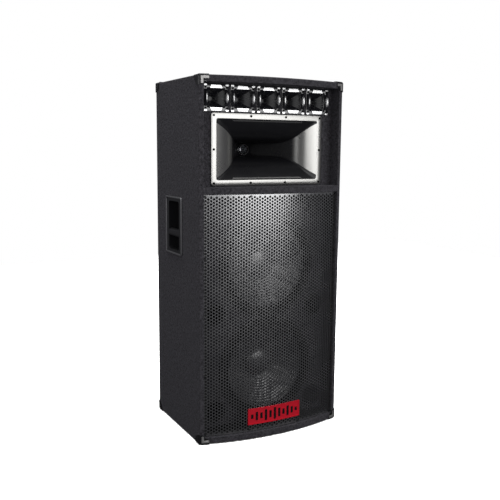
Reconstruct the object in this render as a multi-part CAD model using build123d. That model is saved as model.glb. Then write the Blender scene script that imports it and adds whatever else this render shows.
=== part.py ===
from build123d import *
import math
import os

# Bass cabinet for public address use: a tall carpeted plywood box with a bowed front. It holds two
# bass drivers behind a curved steel grille, a midrange horn with its compression driver and a row of
# piezo tweeters. Millimetres, +Z up, the front faces -Y, +X is on the right seen from the front.
# The origin is the middle of the base, level with the underside of the corner protectors.

# ---- Driving dimensions -------------------------------------------------------------------------
HEIGHT = 1270.0             # over the corner protectors
HALF_WIDTH = 284.0          # to the carpet on the sides
BACK_Y = 218.0              # carpet on the back
BOW_Y = -221.0              # carpet at the middle of the bowed front
CORNER_Y = -176.0           # carpet at the front corners
PROUD = 3.0                 # how far the corner protectors stand out of the carpet
CARPET = 2.0
BOARD = 18.0                # baffles, rear, top, bottom and shelf
SIDE_BOARD = 12.0
EDGE_ROUND = 3.0            # round on the boards' outer edges
BAFFLE_Y = -130.0           # front face of both baffles
CLEAT = 20.0                # square glue battens
LEAD_HOLE = (-150.0, 150.0) # hole through the shelf for the horn's lead, x and y
LEAD_HOLE_R = 12.0
SHELF_Z = 878.0             # underside of the shelf between the bass and horn sections
CAP_REACH = 34.0            # how far a corner protector reaches from its corner

SCREW_SHANK = 2.0           # radii and length of the wood screws
SCREW_HEAD = 4.0
SCREW_LENGTH = 16.0
CORNER_SHANK = 1.6          # and of the corner protectors' countersunk screws
CORNER_HEAD = 3.4
CORNER_LENGTH = 12.0

WOOFER_Z = {"lower": 235.0, "upper": 615.0}
WOOFER_R = 188.0
WOOFER_HOLE_R = 176.0
WOOFER_SCREW_R = 180.0
WOOFER_SCREWS = 8

# Bass driver: depths run backwards from the baffle's front face.
RIM_THICK = 3.0
GASKET_THICK = 6.0
GASKET_INNER_R = 172.2
SURROUND_OUTER_R = 172.0
SURROUND_SEAT_R = 166.0
SURROUND_INNER_R = 149.0
SURROUND_THICK = 1.2
SURROUND_FOLDS = 3
CONE_LIP_R = 153.0
CONE_BEND = (88.0, 34.0)            # radius and depth half way down the cone
CONE_NECK = (38.8, 64.0)            # and where it meets the former
CONE_THICK = 1.2
CAP_R = 52.0
CAP_HEIGHT = 17.0
FORMER = (38.2, 38.8)
COIL_R = 39.7
LEDGE = (90.0, 106.0, 80.0)         # inner radius, outer radius and depth of the spider's seat
SPIDER_FOLDS = 6
SEAT_DEPTH = 109.0                  # back of the basket's well
PLATE_DEPTHS = (112.0, 120.0)
PLATE_R = (41.0, 80.0)
MAGNET_DEPTHS = (120.0, 142.0)
MAGNET_R = (52.0, 95.0)
YOKE_DEPTHS = (142.0, 152.0)
YOKE_R = 84.0
POLE_R = 37.2
VENT_R = 12.0
TAG_DEPTH = 98.0                    # middle of the basket's tag block

PORT_X = 204.0
PORT_Z = (93.0, 450.0)
PORT_R = 35.0
PORT_OUTER_R = 38.0
PORT_RIM_R = 42.0
PORT_RIM = 3.0
PORT_DEPTH = 120.0

GRILLE_BOW_Y = -206.0       # grille's front at the middle
GRILLE_SIDE_Y = -170.0      # and at its side edges
GRILLE_HALF_WIDTH = 266.0
GRILLE_THICK = 1.5
RAIL = 15.0                 # wooden frame behind the grille
BADGE_HALF_WIDTH = 107.0
BADGE_Z = (51.0, 110.0)
BADGE_THICK = 2.0
BADGE_RAISED = 3.2          # border and bars
BADGE_BORDER = 3.0
BADGE_BARS = 5
BADGE_BAR = (12.0, 35.0)    # bar's width and height
BADGE_BAR_PITCH = 30.0

HORN_Z = 1025.0
HORN_FLANGE = (444.0, 247.0)
HORN_RIM = 8.0              # flange thickness
HORN_MOUTH = (406.0, 213.0)
HORN_THROAT = 38.0
HORN_DEPTH = 190.0
HORN_WALL = 3.0
HORN_POWERS = (1.6, 6.0)    # how fast the width and height shrink behind the mouth
HORN_STEPS = 16
DRIVER_PLATE = 8.0
DRIVER_MAGNET = 16.0
DRIVER_REAR = 6.0
DRIVER_GAP = (20.0, 23.0)   # pole and rear plate round the coil
DOME_R = 21.0

TWEETERS = 5
TWEETER_PITCH = 101.0
TWEETER_Z = 1197.0
TWEETER_SIDE = 94.0
TWEETER_MOUTH = (66.0, 66.0)
TWEETER_THROAT = 14.0
TWEETER_RIM = 5.0
TWEETER_WALL = 2.5
TWEETER_POWERS = (1.8, 1.8)
TWEETER_STEPS = 8
TWEETER_SCREWS = (39.5, 34.0)       # half the spacing across and up
TWEETER_DEPTH = 46.0

HANDLE_Y = 44.0
HANDLE_Z = 752.0
HANDLE_FRAME = (148.0, 210.0)
HANDLE_BOWL = (96.0, 176.0)
HANDLE_DEPTH = 60.0
HANDLE_RIM = 4.0            # frame, over the boards
HANDLE_WALL = 3.0
GRIP_Z = 725.0
GRIP = (22.0, 28.0)         # grip bar's depth and height

CUP_Z = 330.0
CUP_FLANGE = (170.0, 120.0)
CUP_MOUTH = (146.0, 96.0)
CUP_DEPTH = 32.0
CUP_RIM = 2.5
CUP_WALL = 3.0
JACK_X = 40.0
JACK_Z = 350.0
JACK_BORE_R = 3.25          # takes a 6.35 mm plug
POST_X = 19.0
POST_Z = 308.0
STUD_R = 2.0
POST_CLEARANCE = 0.04
COLLAR = 5.0                # fixed collar, loose washer and thumb nut of a binding post
WASHER = 1.0
POST_CAP = 12.0

CROSSOVER_Z = 600.0
CROSSOVER_SIZE = (160.0, 110.0)
CROSSOVER_FRONT_Y = 190.0
BOARD_THICK = 1.6
LEAD_R = 2.0

# ---- Worked-out places --------------------------------------------------------------------------
WOOD_HALF_WIDTH = HALF_WIDTH - CARPET
INNER_HALF_WIDTH = WOOD_HALF_WIDTH - SIDE_BOARD
LINING_HALF_WIDTH = INNER_HALF_WIDTH - CARPET
WOOD_BACK_Y = BACK_Y - CARPET
WOOD_LOW = PROUD + CARPET
WOOD_HIGH = HEIGHT - WOOD_LOW
FLOOR_Z = WOOD_LOW + BOARD          # inside faces of the bottom and top panels
CEILING_Z = WOOD_HIGH - BOARD
SHELF_TOP_Z = SHELF_Z + BOARD
BAFFLE_BACK_Y = BAFFLE_Y + BOARD
REAR_Y = WOOD_BACK_Y - BOARD        # inside face of the rear panel
SAGITTA = CORNER_Y - BOW_Y
BOW_RADIUS = (HALF_WIDTH ** 2 + SAGITTA ** 2) / (2 * SAGITTA)
BOW_CENTRE_Y = BOW_Y + BOW_RADIUS
GRILLE_SAGITTA = GRILLE_SIDE_Y - GRILLE_BOW_Y
GRILLE_RADIUS = (GRILLE_HALF_WIDTH ** 2 + GRILLE_SAGITTA ** 2) / (2 * GRILLE_SAGITTA)
GRILLE_CENTRE_Y = GRILLE_BOW_Y + GRILLE_RADIUS
GRILLE_LOW = FLOOR_Z + CARPET + 2
GRILLE_HIGH = SHELF_Z - CARPET - 2
DRIVER_Y = BAFFLE_Y + HORN_DEPTH    # where the horn's driver starts
CUP_FLOOR_Y = WOOD_BACK_Y + CUP_RIM - CUP_DEPTH
FAR_FRONT = -400.0                  # well in front of everything, for cutting
INTO_BAFFLE = (0, 1, 0)


# ---- Helpers ------------------------------------------------------------------------------------
def block(x_range, y_range, z_range):
    """A box given by its lowest and highest x, y and z."""
    size = [high - low for low, high in (x_range, y_range, z_range)]
    middle = [(low + high) / 2 for low, high in (x_range, y_range, z_range)]
    return Pos(*middle) * Box(*size)


def plate(size, corner, y_range, x=0.0, z=0.0):
    """A rounded rectangle of width and height `size`, facing the front, over a range of y."""
    outline = RectangleRounded(size[0], size[1], corner)
    return Pos(x, y_range[0], z) * Rot(-90, 0, 0) * extrude(outline, y_range[1] - y_range[0])


def disc(radius, y_range, x=0.0, z=0.0):
    """A cylinder lying along Y."""
    length = y_range[1] - y_range[0]
    return Pos(x, sum(y_range) / 2, z) * Rot(-90, 0, 0) * Cylinder(radius, length)


def ring(inner, outer, y_range, x=0.0, z=0.0):
    return disc(outer, y_range, x, z) - disc(inner, (y_range[0] - 1, y_range[1] + 1), x, z)


def turned(points):
    """A closed outline of (radius, depth) points, turned about the Y axis."""
    return revolve(make_face(Polyline(points, close=True)), Axis.Y)


def bowed(half_width, radius, centre_y, back_y, z_range):
    """A slab whose front is an arc about (0, centre_y) and whose back is flat."""
    corner_y = centre_y - math.sqrt(radius ** 2 - half_width ** 2)
    left, right = (-half_width, corner_y), (half_width, corner_y)
    outline = Polyline([right, (half_width, back_y), (-half_width, back_y), left])
    outline += ThreePointArc(left, (0, centre_y - radius), right)
    return Pos(0, 0, z_range[0]) * extrude(make_face(outline), z_range[1] - z_range[0])


def envelope(grow):
    """The outside of the boards, grown outwards, with rounded edges."""
    z_range = (WOOD_LOW - grow, WOOD_HIGH + grow)
    half_width = WOOD_HALF_WIDTH + grow
    slab = bowed(half_width, BOW_RADIUS - CARPET + grow, BOW_CENTRE_Y, WOOD_BACK_Y + grow, z_range)
    return fillet(slab.edges(), EDGE_ROUND + grow)


def recesses(shrink, depth_y):
    """The two open fronts, above and below the shelf, made smaller all round by `shrink`."""
    x_range = (shrink - INNER_HALF_WIDTH, INNER_HALF_WIDTH - shrink)
    return [
        block(x_range, (FAR_FRONT, depth_y), (FLOOR_Z + shrink, SHELF_Z - shrink)),
        block(x_range, (FAR_FRONT, depth_y), (SHELF_TOP_Z + shrink, CEILING_Z - shrink)),
    ]


def mirrored(shape):
    """The same piece on the other side of the cabinet."""
    return mirror(shape, Plane.YZ)


def placed(shape, place, direction):
    """A piece made along -Z, turned so that it points along `direction` at `place`."""
    return Plane(origin=place, z_dir=tuple(-part for part in direction)).location * shape


def spread(count, pitch):
    """Places at an even pitch about the middle."""
    return [(i - (count - 1) / 2) * pitch for i in range(count)]


def grown(size, amount):
    return (size[0] + amount, size[1] + amount)


# ---- Screws -------------------------------------------------------------------------------------
def pan_screw(shank, head, length):
    """Pan head above z = 0 and shank below it, with a cross recess."""
    head_height = 0.55 * head
    body = Pos(0, 0, head_height / 2) * Cylinder(head, head_height)
    body = fillet(body.edges().group_by(Axis.Z)[-1], 0.4 * head_height)
    body += Pos(0, 0, -length / 2) * Cylinder(shank, length)
    slot = Pos(0, 0, head_height) * Box(1.1 * head, 0.26 * head, head_height)
    return body - [slot, Rot(0, 0, 90) * slot]


def flush_screw(shank, head, length):
    """Countersunk screw, its head level with z = 0."""
    slope = head - shank
    outline = [(0, 0), (head, 0), (shank, -slope), (shank, -length), (0, -length)]
    body = revolve(make_face(Plane.XZ * Polyline(outline, close=True)), Axis.Z)
    slot = Box(1.2 * head, 0.26 * head, 1.2)
    return body - [slot, Rot(0, 0, 90) * slot]


def screw_set(screw, places):
    return [placed(screw, place, direction) for place, direction in places]


def shank_cuts(shank, places, length):
    """Plain holes for a set of screws, starting just outside the surface."""
    cutter = Pos(0, 0, 3 - (length + 3) / 2) * Cylinder(shank, length + 3)
    return [placed(cutter, place, direction) for place, direction in places]


def woofer_screw_spots():
    """Across and up from a bass driver's middle."""
    angles = [math.radians(360 / WOOFER_SCREWS * (i + 0.5)) for i in range(WOOFER_SCREWS)]
    return [(WOOFER_SCREW_R * math.cos(angle), WOOFER_SCREW_R * math.sin(angle)) for angle in angles]


def woofer_screw_places(front_y):
    spots = woofer_screw_spots()
    return [((x, front_y, z + dz), INTO_BAFFLE) for z in WOOFER_Z.values() for x, dz in spots]


def horn_screw_places(front_y):
    """Four along the top, four along the bottom and one in the middle of each side."""
    half_x = HORN_FLANGE[0] / 2 - 10
    half_z = HORN_FLANGE[1] / 2 - 9
    spots = [(half_x * share, half_z * side) for share in (-1, -0.33, 0.33, 1) for side in (-1, 1)]
    spots += [(-half_x, 0), (half_x, 0)]
    return [((x, front_y, HORN_Z + z), INTO_BAFFLE) for x, z in spots]


def tweeter_centres():
    return spread(TWEETERS, TWEETER_PITCH)


def tweeter_screw_places(front_y):
    corners = [(a * TWEETER_SCREWS[0], b * TWEETER_SCREWS[1]) for a in (-1, 1) for b in (-1, 1)]
    return [
        ((x + dx, front_y, TWEETER_Z + dz), INTO_BAFFLE) for x in tweeter_centres() for dx, dz in corners
    ]


def handle_screw_places(side):
    half_y = HANDLE_FRAME[0] / 2 - 8
    half_z = HANDLE_FRAME[1] / 2 - 8
    spots = [(a * half_y, b * half_z) for a in (-1, 1) for b in (-1, 1)]
    x = side * (WOOD_HALF_WIDTH + HANDLE_RIM)
    return [((x, HANDLE_Y + y, HANDLE_Z + z), (-side, 0, 0)) for y, z in spots]


def cup_screw_places():
    half_x = CUP_FLANGE[0] / 2 - 7
    half_z = CUP_FLANGE[1] / 2 - 7
    y = WOOD_BACK_Y + CUP_RIM
    return [((a * half_x, y, CUP_Z + b * half_z), (0, -1, 0)) for a in (-1, 1) for b in (-1, 1)]


def corner_screw_places():
    """One screw in each leg of the eight corner protectors, all of them into the top or bottom panel."""
    inset = 16.0
    front_x = HALF_WIDTH - 20
    places = []
    for side in (-1, 1):
        for z, up in ((HEIGHT, 1), (0, -1)):
            leg_z = z - up * (PROUD + inset)
            edge_z = z - up * (PROUD + CARPET + BOARD / 2)
            x = side * (HALF_WIDTH - inset)
            outer_x = side * (HALF_WIDTH + PROUD)
            for y in (CORNER_Y + inset, BACK_Y - inset):
                places.append(((outer_x, y, leg_z), (-side, 0, 0)))
                places.append(((x, y, z), (0, 0, -up)))
            places.append(((x, BACK_Y + PROUD, leg_z), (0, -1, 0)))
            reach = BOW_RADIUS + PROUD
            front_y = BOW_CENTRE_Y - math.sqrt(reach ** 2 - front_x ** 2)
            normal = (-side * front_x / reach, (BOW_CENTRE_Y - front_y) / reach, 0)
            places.append(((side * front_x, front_y, edge_z), normal))
    return places


def grille_front_y(x):
    return GRILLE_CENTRE_Y - math.sqrt(GRILLE_RADIUS ** 2 - x ** 2)


def grille_screw_places():
    """Five up each side and two more along the bottom and top edges."""
    places = []
    edge_x = GRILLE_HALF_WIDTH - 6
    edge_low, edge_high = GRILLE_LOW + 6, GRILLE_HIGH - 6
    heights = [edge_low + (edge_high - edge_low) * i / 4 for i in range(5)]
    spots = [(side * edge_x, z) for side in (-1, 1) for z in heights]
    spots += [(x, z) for x in (-100, 100) for z in (edge_low, edge_high)]
    for x, z in spots:
        y = grille_front_y(x)
        normal = (-x / GRILLE_RADIUS, (GRILLE_CENTRE_Y - y) / GRILLE_RADIUS, 0)
        places.append(((x, y, z), normal))
    return places


# ---- Boards -------------------------------------------------------------------------------------
def make_boards():
    outside = envelope(0)
    corner_cuts = shank_cuts(CORNER_SHANK, corner_screw_places(), CORNER_LENGTH)
    full_x = (-WOOD_HALF_WIDTH - 1, WOOD_HALF_WIDTH + 1)
    full_y = (FAR_FRONT, WOOD_BACK_Y + 1)
    inner_x = (-INNER_HALF_WIDTH, INNER_HALF_WIDTH)
    inner_z = (FLOOR_Z, CEILING_Z)
    bottom = (block(full_x, full_y, (WOOD_LOW - 1, FLOOR_Z)) & outside) - corner_cuts
    top = (block(full_x, full_y, (CEILING_Z, WOOD_HIGH + 1)) & outside) - corner_cuts
    side = block((INNER_HALF_WIDTH, WOOD_HALF_WIDTH + 1), full_y, inner_z) & outside
    side -= handle_hole(1)
    side -= shank_cuts(SCREW_SHANK, handle_screw_places(1), SCREW_LENGTH)
    rear = block(inner_x, (REAR_Y, WOOD_BACK_Y), inner_z)
    rear -= plate(grown(CUP_MOUTH, 2 * CUP_WALL), 8, (REAR_Y - 1, WOOD_BACK_Y + 1), z=CUP_Z)
    rear -= shank_cuts(SCREW_SHANK, cup_screw_places(), SCREW_LENGTH)
    shelf = bowed(INNER_HALF_WIDTH, BOW_RADIUS - CARPET, BOW_CENTRE_Y, REAR_Y, (SHELF_Z, SHELF_TOP_Z))
    shelf -= Pos(*LEAD_HOLE, SHELF_Z) * Cylinder(LEAD_HOLE_R, 3 * BOARD)
    return {
        "bottom_panel": bottom,
        "top_panel": top,
        "side_panel_right": side,
        "side_panel_left": mirrored(side),
        "rear_panel": rear,
        "mid_shelf": shelf,
    }


def make_baffles():
    through = (BAFFLE_Y - 1, BAFFLE_BACK_Y + 1)
    inner_x = (-INNER_HALF_WIDTH, INNER_HALF_WIDTH)
    depth = (BAFFLE_Y, BAFFLE_BACK_Y)
    lower = block(inner_x, depth, (FLOOR_Z, SHELF_Z))
    lower -= [disc(WOOFER_HOLE_R, through, z=z) for z in WOOFER_Z.values()]
    lower -= [disc(PORT_OUTER_R, through, x, z) for x in (-PORT_X, PORT_X) for z in PORT_Z]
    lower -= shank_cuts(SCREW_SHANK, woofer_screw_places(BAFFLE_Y), SCREW_LENGTH)
    upper = block(inner_x, depth, (SHELF_TOP_Z, CEILING_Z))
    upper -= plate(grown(HORN_MOUTH, 2 * HORN_WALL + 2), 16, through, z=HORN_Z)
    hole = grown(TWEETER_MOUTH, 2 * TWEETER_WALL + 1)
    upper -= [plate(hole, 6, through, x, TWEETER_Z) for x in tweeter_centres()]
    screws = horn_screw_places(BAFFLE_Y) + tweeter_screw_places(BAFFLE_Y)
    upper -= shank_cuts(SCREW_SHANK, screws, SCREW_LENGTH)
    return {"lower_baffle": lower, "upper_baffle": upper}


def make_bracing():
    """Glue battens behind the baffles and before the rear panel, and a windowed brace."""
    levels = ((FLOOR_Z, SHELF_Z), (SHELF_TOP_Z, CEILING_Z))
    depths = ((BAFFLE_BACK_Y, BAFFLE_BACK_Y + CLEAT), (REAR_Y - CLEAT, REAR_Y))
    edge_x = (INNER_HALF_WIDTH - CLEAT, INNER_HALF_WIDTH)
    cleats = [block(edge_x, y_range, z_range) for y_range in depths for z_range in levels]
    cleats += [mirrored(piece) for piece in cleats]
    front_y, back_y = 10.0, REAR_Y - CLEAT
    rim = 50.0
    middle_z = sum(WOOFER_Z.values()) / 2
    z_range = (middle_z - BOARD / 2, middle_z + BOARD / 2)
    brace = block((-INNER_HALF_WIDTH, INNER_HALF_WIDTH), (front_y, back_y), z_range)
    window = RectangleRounded(2 * (INNER_HALF_WIDTH - rim), back_y - front_y - rim, 30)
    brace -= Pos(0, (front_y + back_y) / 2, middle_z) * extrude(window, 2 * BOARD, both=True)
    return {"corner_cleats": cleats, "window_brace": brace}


def make_carpet():
    """Carpet over the whole outside, round the front edges and into the open fronts."""
    boards = envelope(0) - recesses(0, BAFFLE_Y)
    wrap = envelope(CARPET) - recesses(CARPET, BAFFLE_Y) - boards
    wrap -= shank_cuts(CORNER_SHANK, corner_screw_places(), CORNER_LENGTH)
    for side in (-1, 1):
        wrap -= handle_outline(side)
    wrap -= plate(CUP_FLANGE, 8, (WOOD_BACK_Y - 1, BACK_Y + 1), z=CUP_Z)
    thickness = (BAFFLE_Y - CARPET, BAFFLE_Y)
    lining_x = (-LINING_HALF_WIDTH, LINING_HALF_WIDTH)
    lower = block(lining_x, thickness, (FLOOR_Z + CARPET, SHELF_Z - CARPET))
    through = (BAFFLE_Y - CARPET - 1, BAFFLE_Y + 1)
    lower -= [disc(WOOFER_R, through, z=z) for z in WOOFER_Z.values()]
    lower -= [disc(PORT_RIM_R, through, x, z) for x in (-PORT_X, PORT_X) for z in PORT_Z]
    upper = block(lining_x, thickness, (SHELF_TOP_Z + CARPET, CEILING_Z - CARPET))
    upper -= plate(HORN_FLANGE, 12, through, z=HORN_Z)
    upper -= [plate((TWEETER_SIDE, TWEETER_SIDE), 5, through, x, TWEETER_Z) for x in tweeter_centres()]
    return {"carpet_wrap": wrap, "baffle_carpets": [lower, upper]}


# ---- Corners ------------------------------------------------------------------------------------
def make_corners():
    """Pressed three-legged caps: a thin layer over each corner, trimmed by a ball."""
    layer = envelope(CARPET + PROUD) - envelope(CARPET)
    layer -= recesses(CARPET, BAFFLE_Y)
    corners = [Pos(HALF_WIDTH, y, z) for y in (CORNER_Y, BACK_Y) for z in (PROUD, HEIGHT - PROUD)]
    screw = flush_screw(CORNER_SHANK, CORNER_HEAD, CORNER_LENGTH)
    places = corner_screw_places()
    caps = []
    for corner in corners:
        cap = layer & (corner * Sphere(CAP_REACH))
        for place, direction in places:
            if (Vector(*place) - corner.position).length < CAP_REACH:
                cap -= placed(countersink(), place, direction)
        caps += [cap, mirrored(cap)]
    return {"corner_protectors": caps, "corner_screws": screw_set(screw, places)}


def countersink():
    """Cutter for a countersunk screw's seat."""
    slope = CORNER_HEAD - CORNER_SHANK
    over, under = 1.0, -8.0
    outline = [(0, over), (CORNER_HEAD, over), (CORNER_HEAD, 0), (CORNER_SHANK, -slope)]
    outline += [(CORNER_SHANK, under), (0, under)]
    return revolve(make_face(Plane.XZ * Polyline(outline, close=True)), Axis.Z)


# ---- Handles ------------------------------------------------------------------------------------
def side_plate(size, corner, x_range):
    """A rounded rectangle facing the right side, over a range of x, at the handle's place."""
    outline = RectangleRounded(size[1], size[0], corner)
    turn = Pos(x_range[0], HANDLE_Y, HANDLE_Z) * Rot(0, 90, 0)
    return turn * extrude(outline, x_range[1] - x_range[0])


def handle_hole(side):
    x_range = (INNER_HALF_WIDTH - 1, WOOD_HALF_WIDTH + 1)
    hole = side_plate(grown(HANDLE_BOWL, 2 * HANDLE_WALL), 14, x_range)
    return hole if side > 0 else mirrored(hole)


def handle_outline(side):
    outline = side_plate(HANDLE_FRAME, 14, (WOOD_HALF_WIDTH - 1, HALF_WIDTH + 1))
    return outline if side > 0 else mirrored(outline)


def make_handles():
    """Moulded recessed handle: frame, bowl and a grip bar across the mouth."""
    face_x = WOOD_HALF_WIDTH + HANDLE_RIM
    floor_x = WOOD_HALF_WIDTH - HANDLE_DEPTH
    shell = side_plate(HANDLE_FRAME, 14, (WOOD_HALF_WIDTH, face_x))
    shell = chamfer(shell.edges().filter_by_position(Axis.X, face_x, face_x), 1.5)
    shell += side_plate(grown(HANDLE_BOWL, 2 * HANDLE_WALL), 14, (floor_x, WOOD_HALF_WIDTH))
    shell -= side_plate(HANDLE_BOWL, 11, (floor_x + HANDLE_WALL, face_x + 1))
    half_length = (HANDLE_BOWL[0] + HANDLE_WALL) / 2
    grip_y = (HANDLE_Y - half_length, HANDLE_Y + half_length)
    bar = block((face_x - GRIP[0], face_x), grip_y, (GRIP_Z - GRIP[1] / 2, GRIP_Z + GRIP[1] / 2))
    bar = fillet(bar.edges().filter_by(Axis.Y), 9)
    shell += bar
    shell -= shank_cuts(SCREW_SHANK, handle_screw_places(1), SCREW_LENGTH)
    screw = pan_screw(SCREW_SHANK, SCREW_HEAD, SCREW_LENGTH)
    screws = screw_set(screw, handle_screw_places(1) + handle_screw_places(-1))
    return {"handle_right": shell, "handle_left": mirrored(shell)}, screws


# ---- Grille and badge ---------------------------------------------------------------------------
def arc_sheet(front_radius, thick, half_width, z_range):
    """A sheet bent about the grille's centre line, given by its front radius."""
    outer = bowed(half_width, front_radius, GRILLE_CENTRE_Y, BAFFLE_Y, z_range)
    wide = (z_range[0] - 1, z_range[1] + 1)
    return outer - bowed(half_width + 20, front_radius - thick, GRILLE_CENTRE_Y, 0, wide)


def make_grille():
    z_range = (GRILLE_LOW, GRILLE_HIGH)
    places = grille_screw_places()
    cuts = shank_cuts(SCREW_SHANK, places, SCREW_LENGTH)
    sheet = arc_sheet(GRILLE_RADIUS, GRILLE_THICK, GRILLE_HALF_WIDTH, z_range) - cuts
    low, high = FLOOR_Z + CARPET, SHELF_Z - CARPET
    frame_radius = GRILLE_RADIUS - GRILLE_THICK
    frame = bowed(LINING_HALF_WIDTH, frame_radius, GRILLE_CENTRE_Y, BAFFLE_Y - CARPET, (low, high))
    window_x = (RAIL - LINING_HALF_WIDTH, LINING_HALF_WIDTH - RAIL)
    frame -= block(window_x, (FAR_FRONT, 0), (low + RAIL, high - RAIL))
    frame -= cuts
    screws = screw_set(pan_screw(SCREW_SHANK, SCREW_HEAD, SCREW_LENGTH), places)
    return {"grille": sheet, "grille_frame": frame, "grille_screws": screws}


def make_badge():
    """A plate bent to the grille, with a raised border and plain raised bars."""
    base = arc_sheet(GRILLE_RADIUS + BADGE_THICK, BADGE_THICK, BADGE_HALF_WIDTH, BADGE_Z)
    layer = arc_sheet(GRILLE_RADIUS + BADGE_RAISED, BADGE_RAISED, BADGE_HALF_WIDTH, BADGE_Z)
    inside_x = (BADGE_BORDER - BADGE_HALF_WIDTH, BADGE_HALF_WIDTH - BADGE_BORDER)
    raised = layer - block(inside_x, (FAR_FRONT, 0), (BADGE_Z[0] + BADGE_BORDER, BADGE_Z[1] - BADGE_BORDER))
    bar = Pos(0, FAR_FRONT, sum(BADGE_Z) / 2) * Box(BADGE_BAR[0], -2 * FAR_FRONT, BADGE_BAR[1])
    bars = [layer & (Pos(x, 0, 0) * bar) for x in spread(BADGE_BARS, BADGE_BAR_PITCH)]
    return {"badge": base + raised + bars}


# ---- Bass drivers -------------------------------------------------------------------------------
def basket():
    """Pressed steel basket with six windows and a tag block for its leads."""
    well_in, well_out, ledge_depth = LEDGE
    outline = [
        (SURROUND_SEAT_R, -RIM_THICK), (WOOFER_R, -RIM_THICK), (WOOFER_R, 0), (174, 0), (172, 10),
        (well_out + 3, ledge_depth + 3), (well_in + 3, ledge_depth + 3), (well_in + 3, PLATE_DEPTHS[0]),
        (46, PLATE_DEPTHS[0]), (46, SEAT_DEPTH), (well_in, SEAT_DEPTH), (well_in, ledge_depth),
        (well_out, ledge_depth), (168, 9),
    ]
    body = turned(outline)
    half_angle = math.radians(21)
    inner, outer = 112.0, 190.0
    ends = ((inner, -half_angle), (outer, -half_angle), (outer, half_angle), (inner, half_angle))
    corners = [(r * math.cos(a), r * math.sin(a)) for r, a in ends]
    window = Pos(0, 16, 0) * Rot(-90, 0, 0) * extrude(make_face(Polyline(corners, close=True)), 58)
    body -= [Rot(0, 60 * i, 0) * window for i in range(6)]
    tag = block((well_in + 2, well_in + 14), (TAG_DEPTH - 6, TAG_DEPTH + 6), (-8, 8))
    return body + tag - rim_holes()


def rim_holes():
    return [disc(SCREW_SHANK, (-15, 15), x, z) for x, z in woofer_screw_spots()]


def cone():
    """Curved paper cone with a flat lip under the surround."""
    lip, neck = -RIM_THICK, (CONE_NECK[0], CONE_NECK[1] + 2)
    behind = (CONE_BEND[0] + CONE_THICK, CONE_BEND[1] + CONE_THICK)
    back = ThreePointArc((SURROUND_INNER_R, lip + CONE_THICK), behind, neck)
    rim = [(SURROUND_INNER_R, lip + CONE_THICK), (CONE_LIP_R, lip + CONE_THICK), (CONE_LIP_R, lip)]
    rim.append((SURROUND_INNER_R - 2, lip))
    outline = cone_front() + Line(CONE_NECK, neck) + back + Polyline(rim)
    return revolve(make_face(outline), Axis.Y)


def cone_front():
    """The cone's front face in section."""
    return ThreePointArc((SURROUND_INNER_R - 2, -RIM_THICK), CONE_BEND, CONE_NECK)


def dust_cap():
    """A shallow dome glued to the cone."""
    across = Line((CAP_R, 0), (CAP_R, CONE_NECK[1]))
    rim = cone_front().intersect(across)[0].Y
    thick = 1.0
    top, shoulder = rim - CAP_HEIGHT, rim - 0.7 * CAP_HEIGHT
    front = ThreePointArc((0, top), (0.55 * CAP_R, shoulder), (CAP_R, rim))
    inside = ThreePointArc((0, top + thick), (0.55 * CAP_R - 0.4, shoulder + thick), (CAP_R - 1.3, rim))
    outline = front + Line((CAP_R, rim), (CAP_R - 1.3, rim)) + inside + Line((0, top + thick), (0, top))
    return revolve(make_face(outline), Axis.Y)


def surround():
    """Pleated cloth ring."""
    base = -RIM_THICK
    top = base - SURROUND_THICK
    fold = (SURROUND_SEAT_R - CONE_LIP_R) / SURROUND_FOLDS
    height = 5.0
    front = [(SURROUND_OUTER_R, top)]
    back = [(SURROUND_OUTER_R, base)]
    for i in range(SURROUND_FOLDS):
        outer = SURROUND_SEAT_R - fold * i
        front += [(outer, top), (outer - fold / 2, top - height)]
        back += [(outer, base), (outer - fold / 2, base - height)]
    front += [(CONE_LIP_R, top), (SURROUND_INNER_R, top)]
    back += [(CONE_LIP_R, base), (SURROUND_INNER_R, base)]
    return turned(front + back[::-1])


def spider():
    """Corrugated centring disc between the former and its seat in the basket."""
    base = LEDGE[2]
    top = base - 1.0
    outer = LEDGE[1] - 1
    inner = FORMER[1] + 0.2
    free = LEDGE[0] - 2
    height = 3.0
    step = (free - inner - 4) / SPIDER_FOLDS
    front = [(outer, top), (free, top)]
    back = [(outer, base), (free, base)]
    for i in range(SPIDER_FOLDS):
        start = free - step * i
        front += [(start - step / 2, top - height), (start - step, top)]
        back += [(start - step / 2, base - height), (start - step, base)]
    front.append((inner, top))
    back.append((inner, base))
    return turned(front + back[::-1])


def voice_coil():
    """Paper former with its winding."""
    end = PLATE_DEPTHS[1] + 8
    former = ring(FORMER[0], FORMER[1], (CONE_NECK[1] - 4, end))
    return former + ring(FORMER[1] - 0.1, COIL_R, (PLATE_DEPTHS[0] - 3, end))


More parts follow.
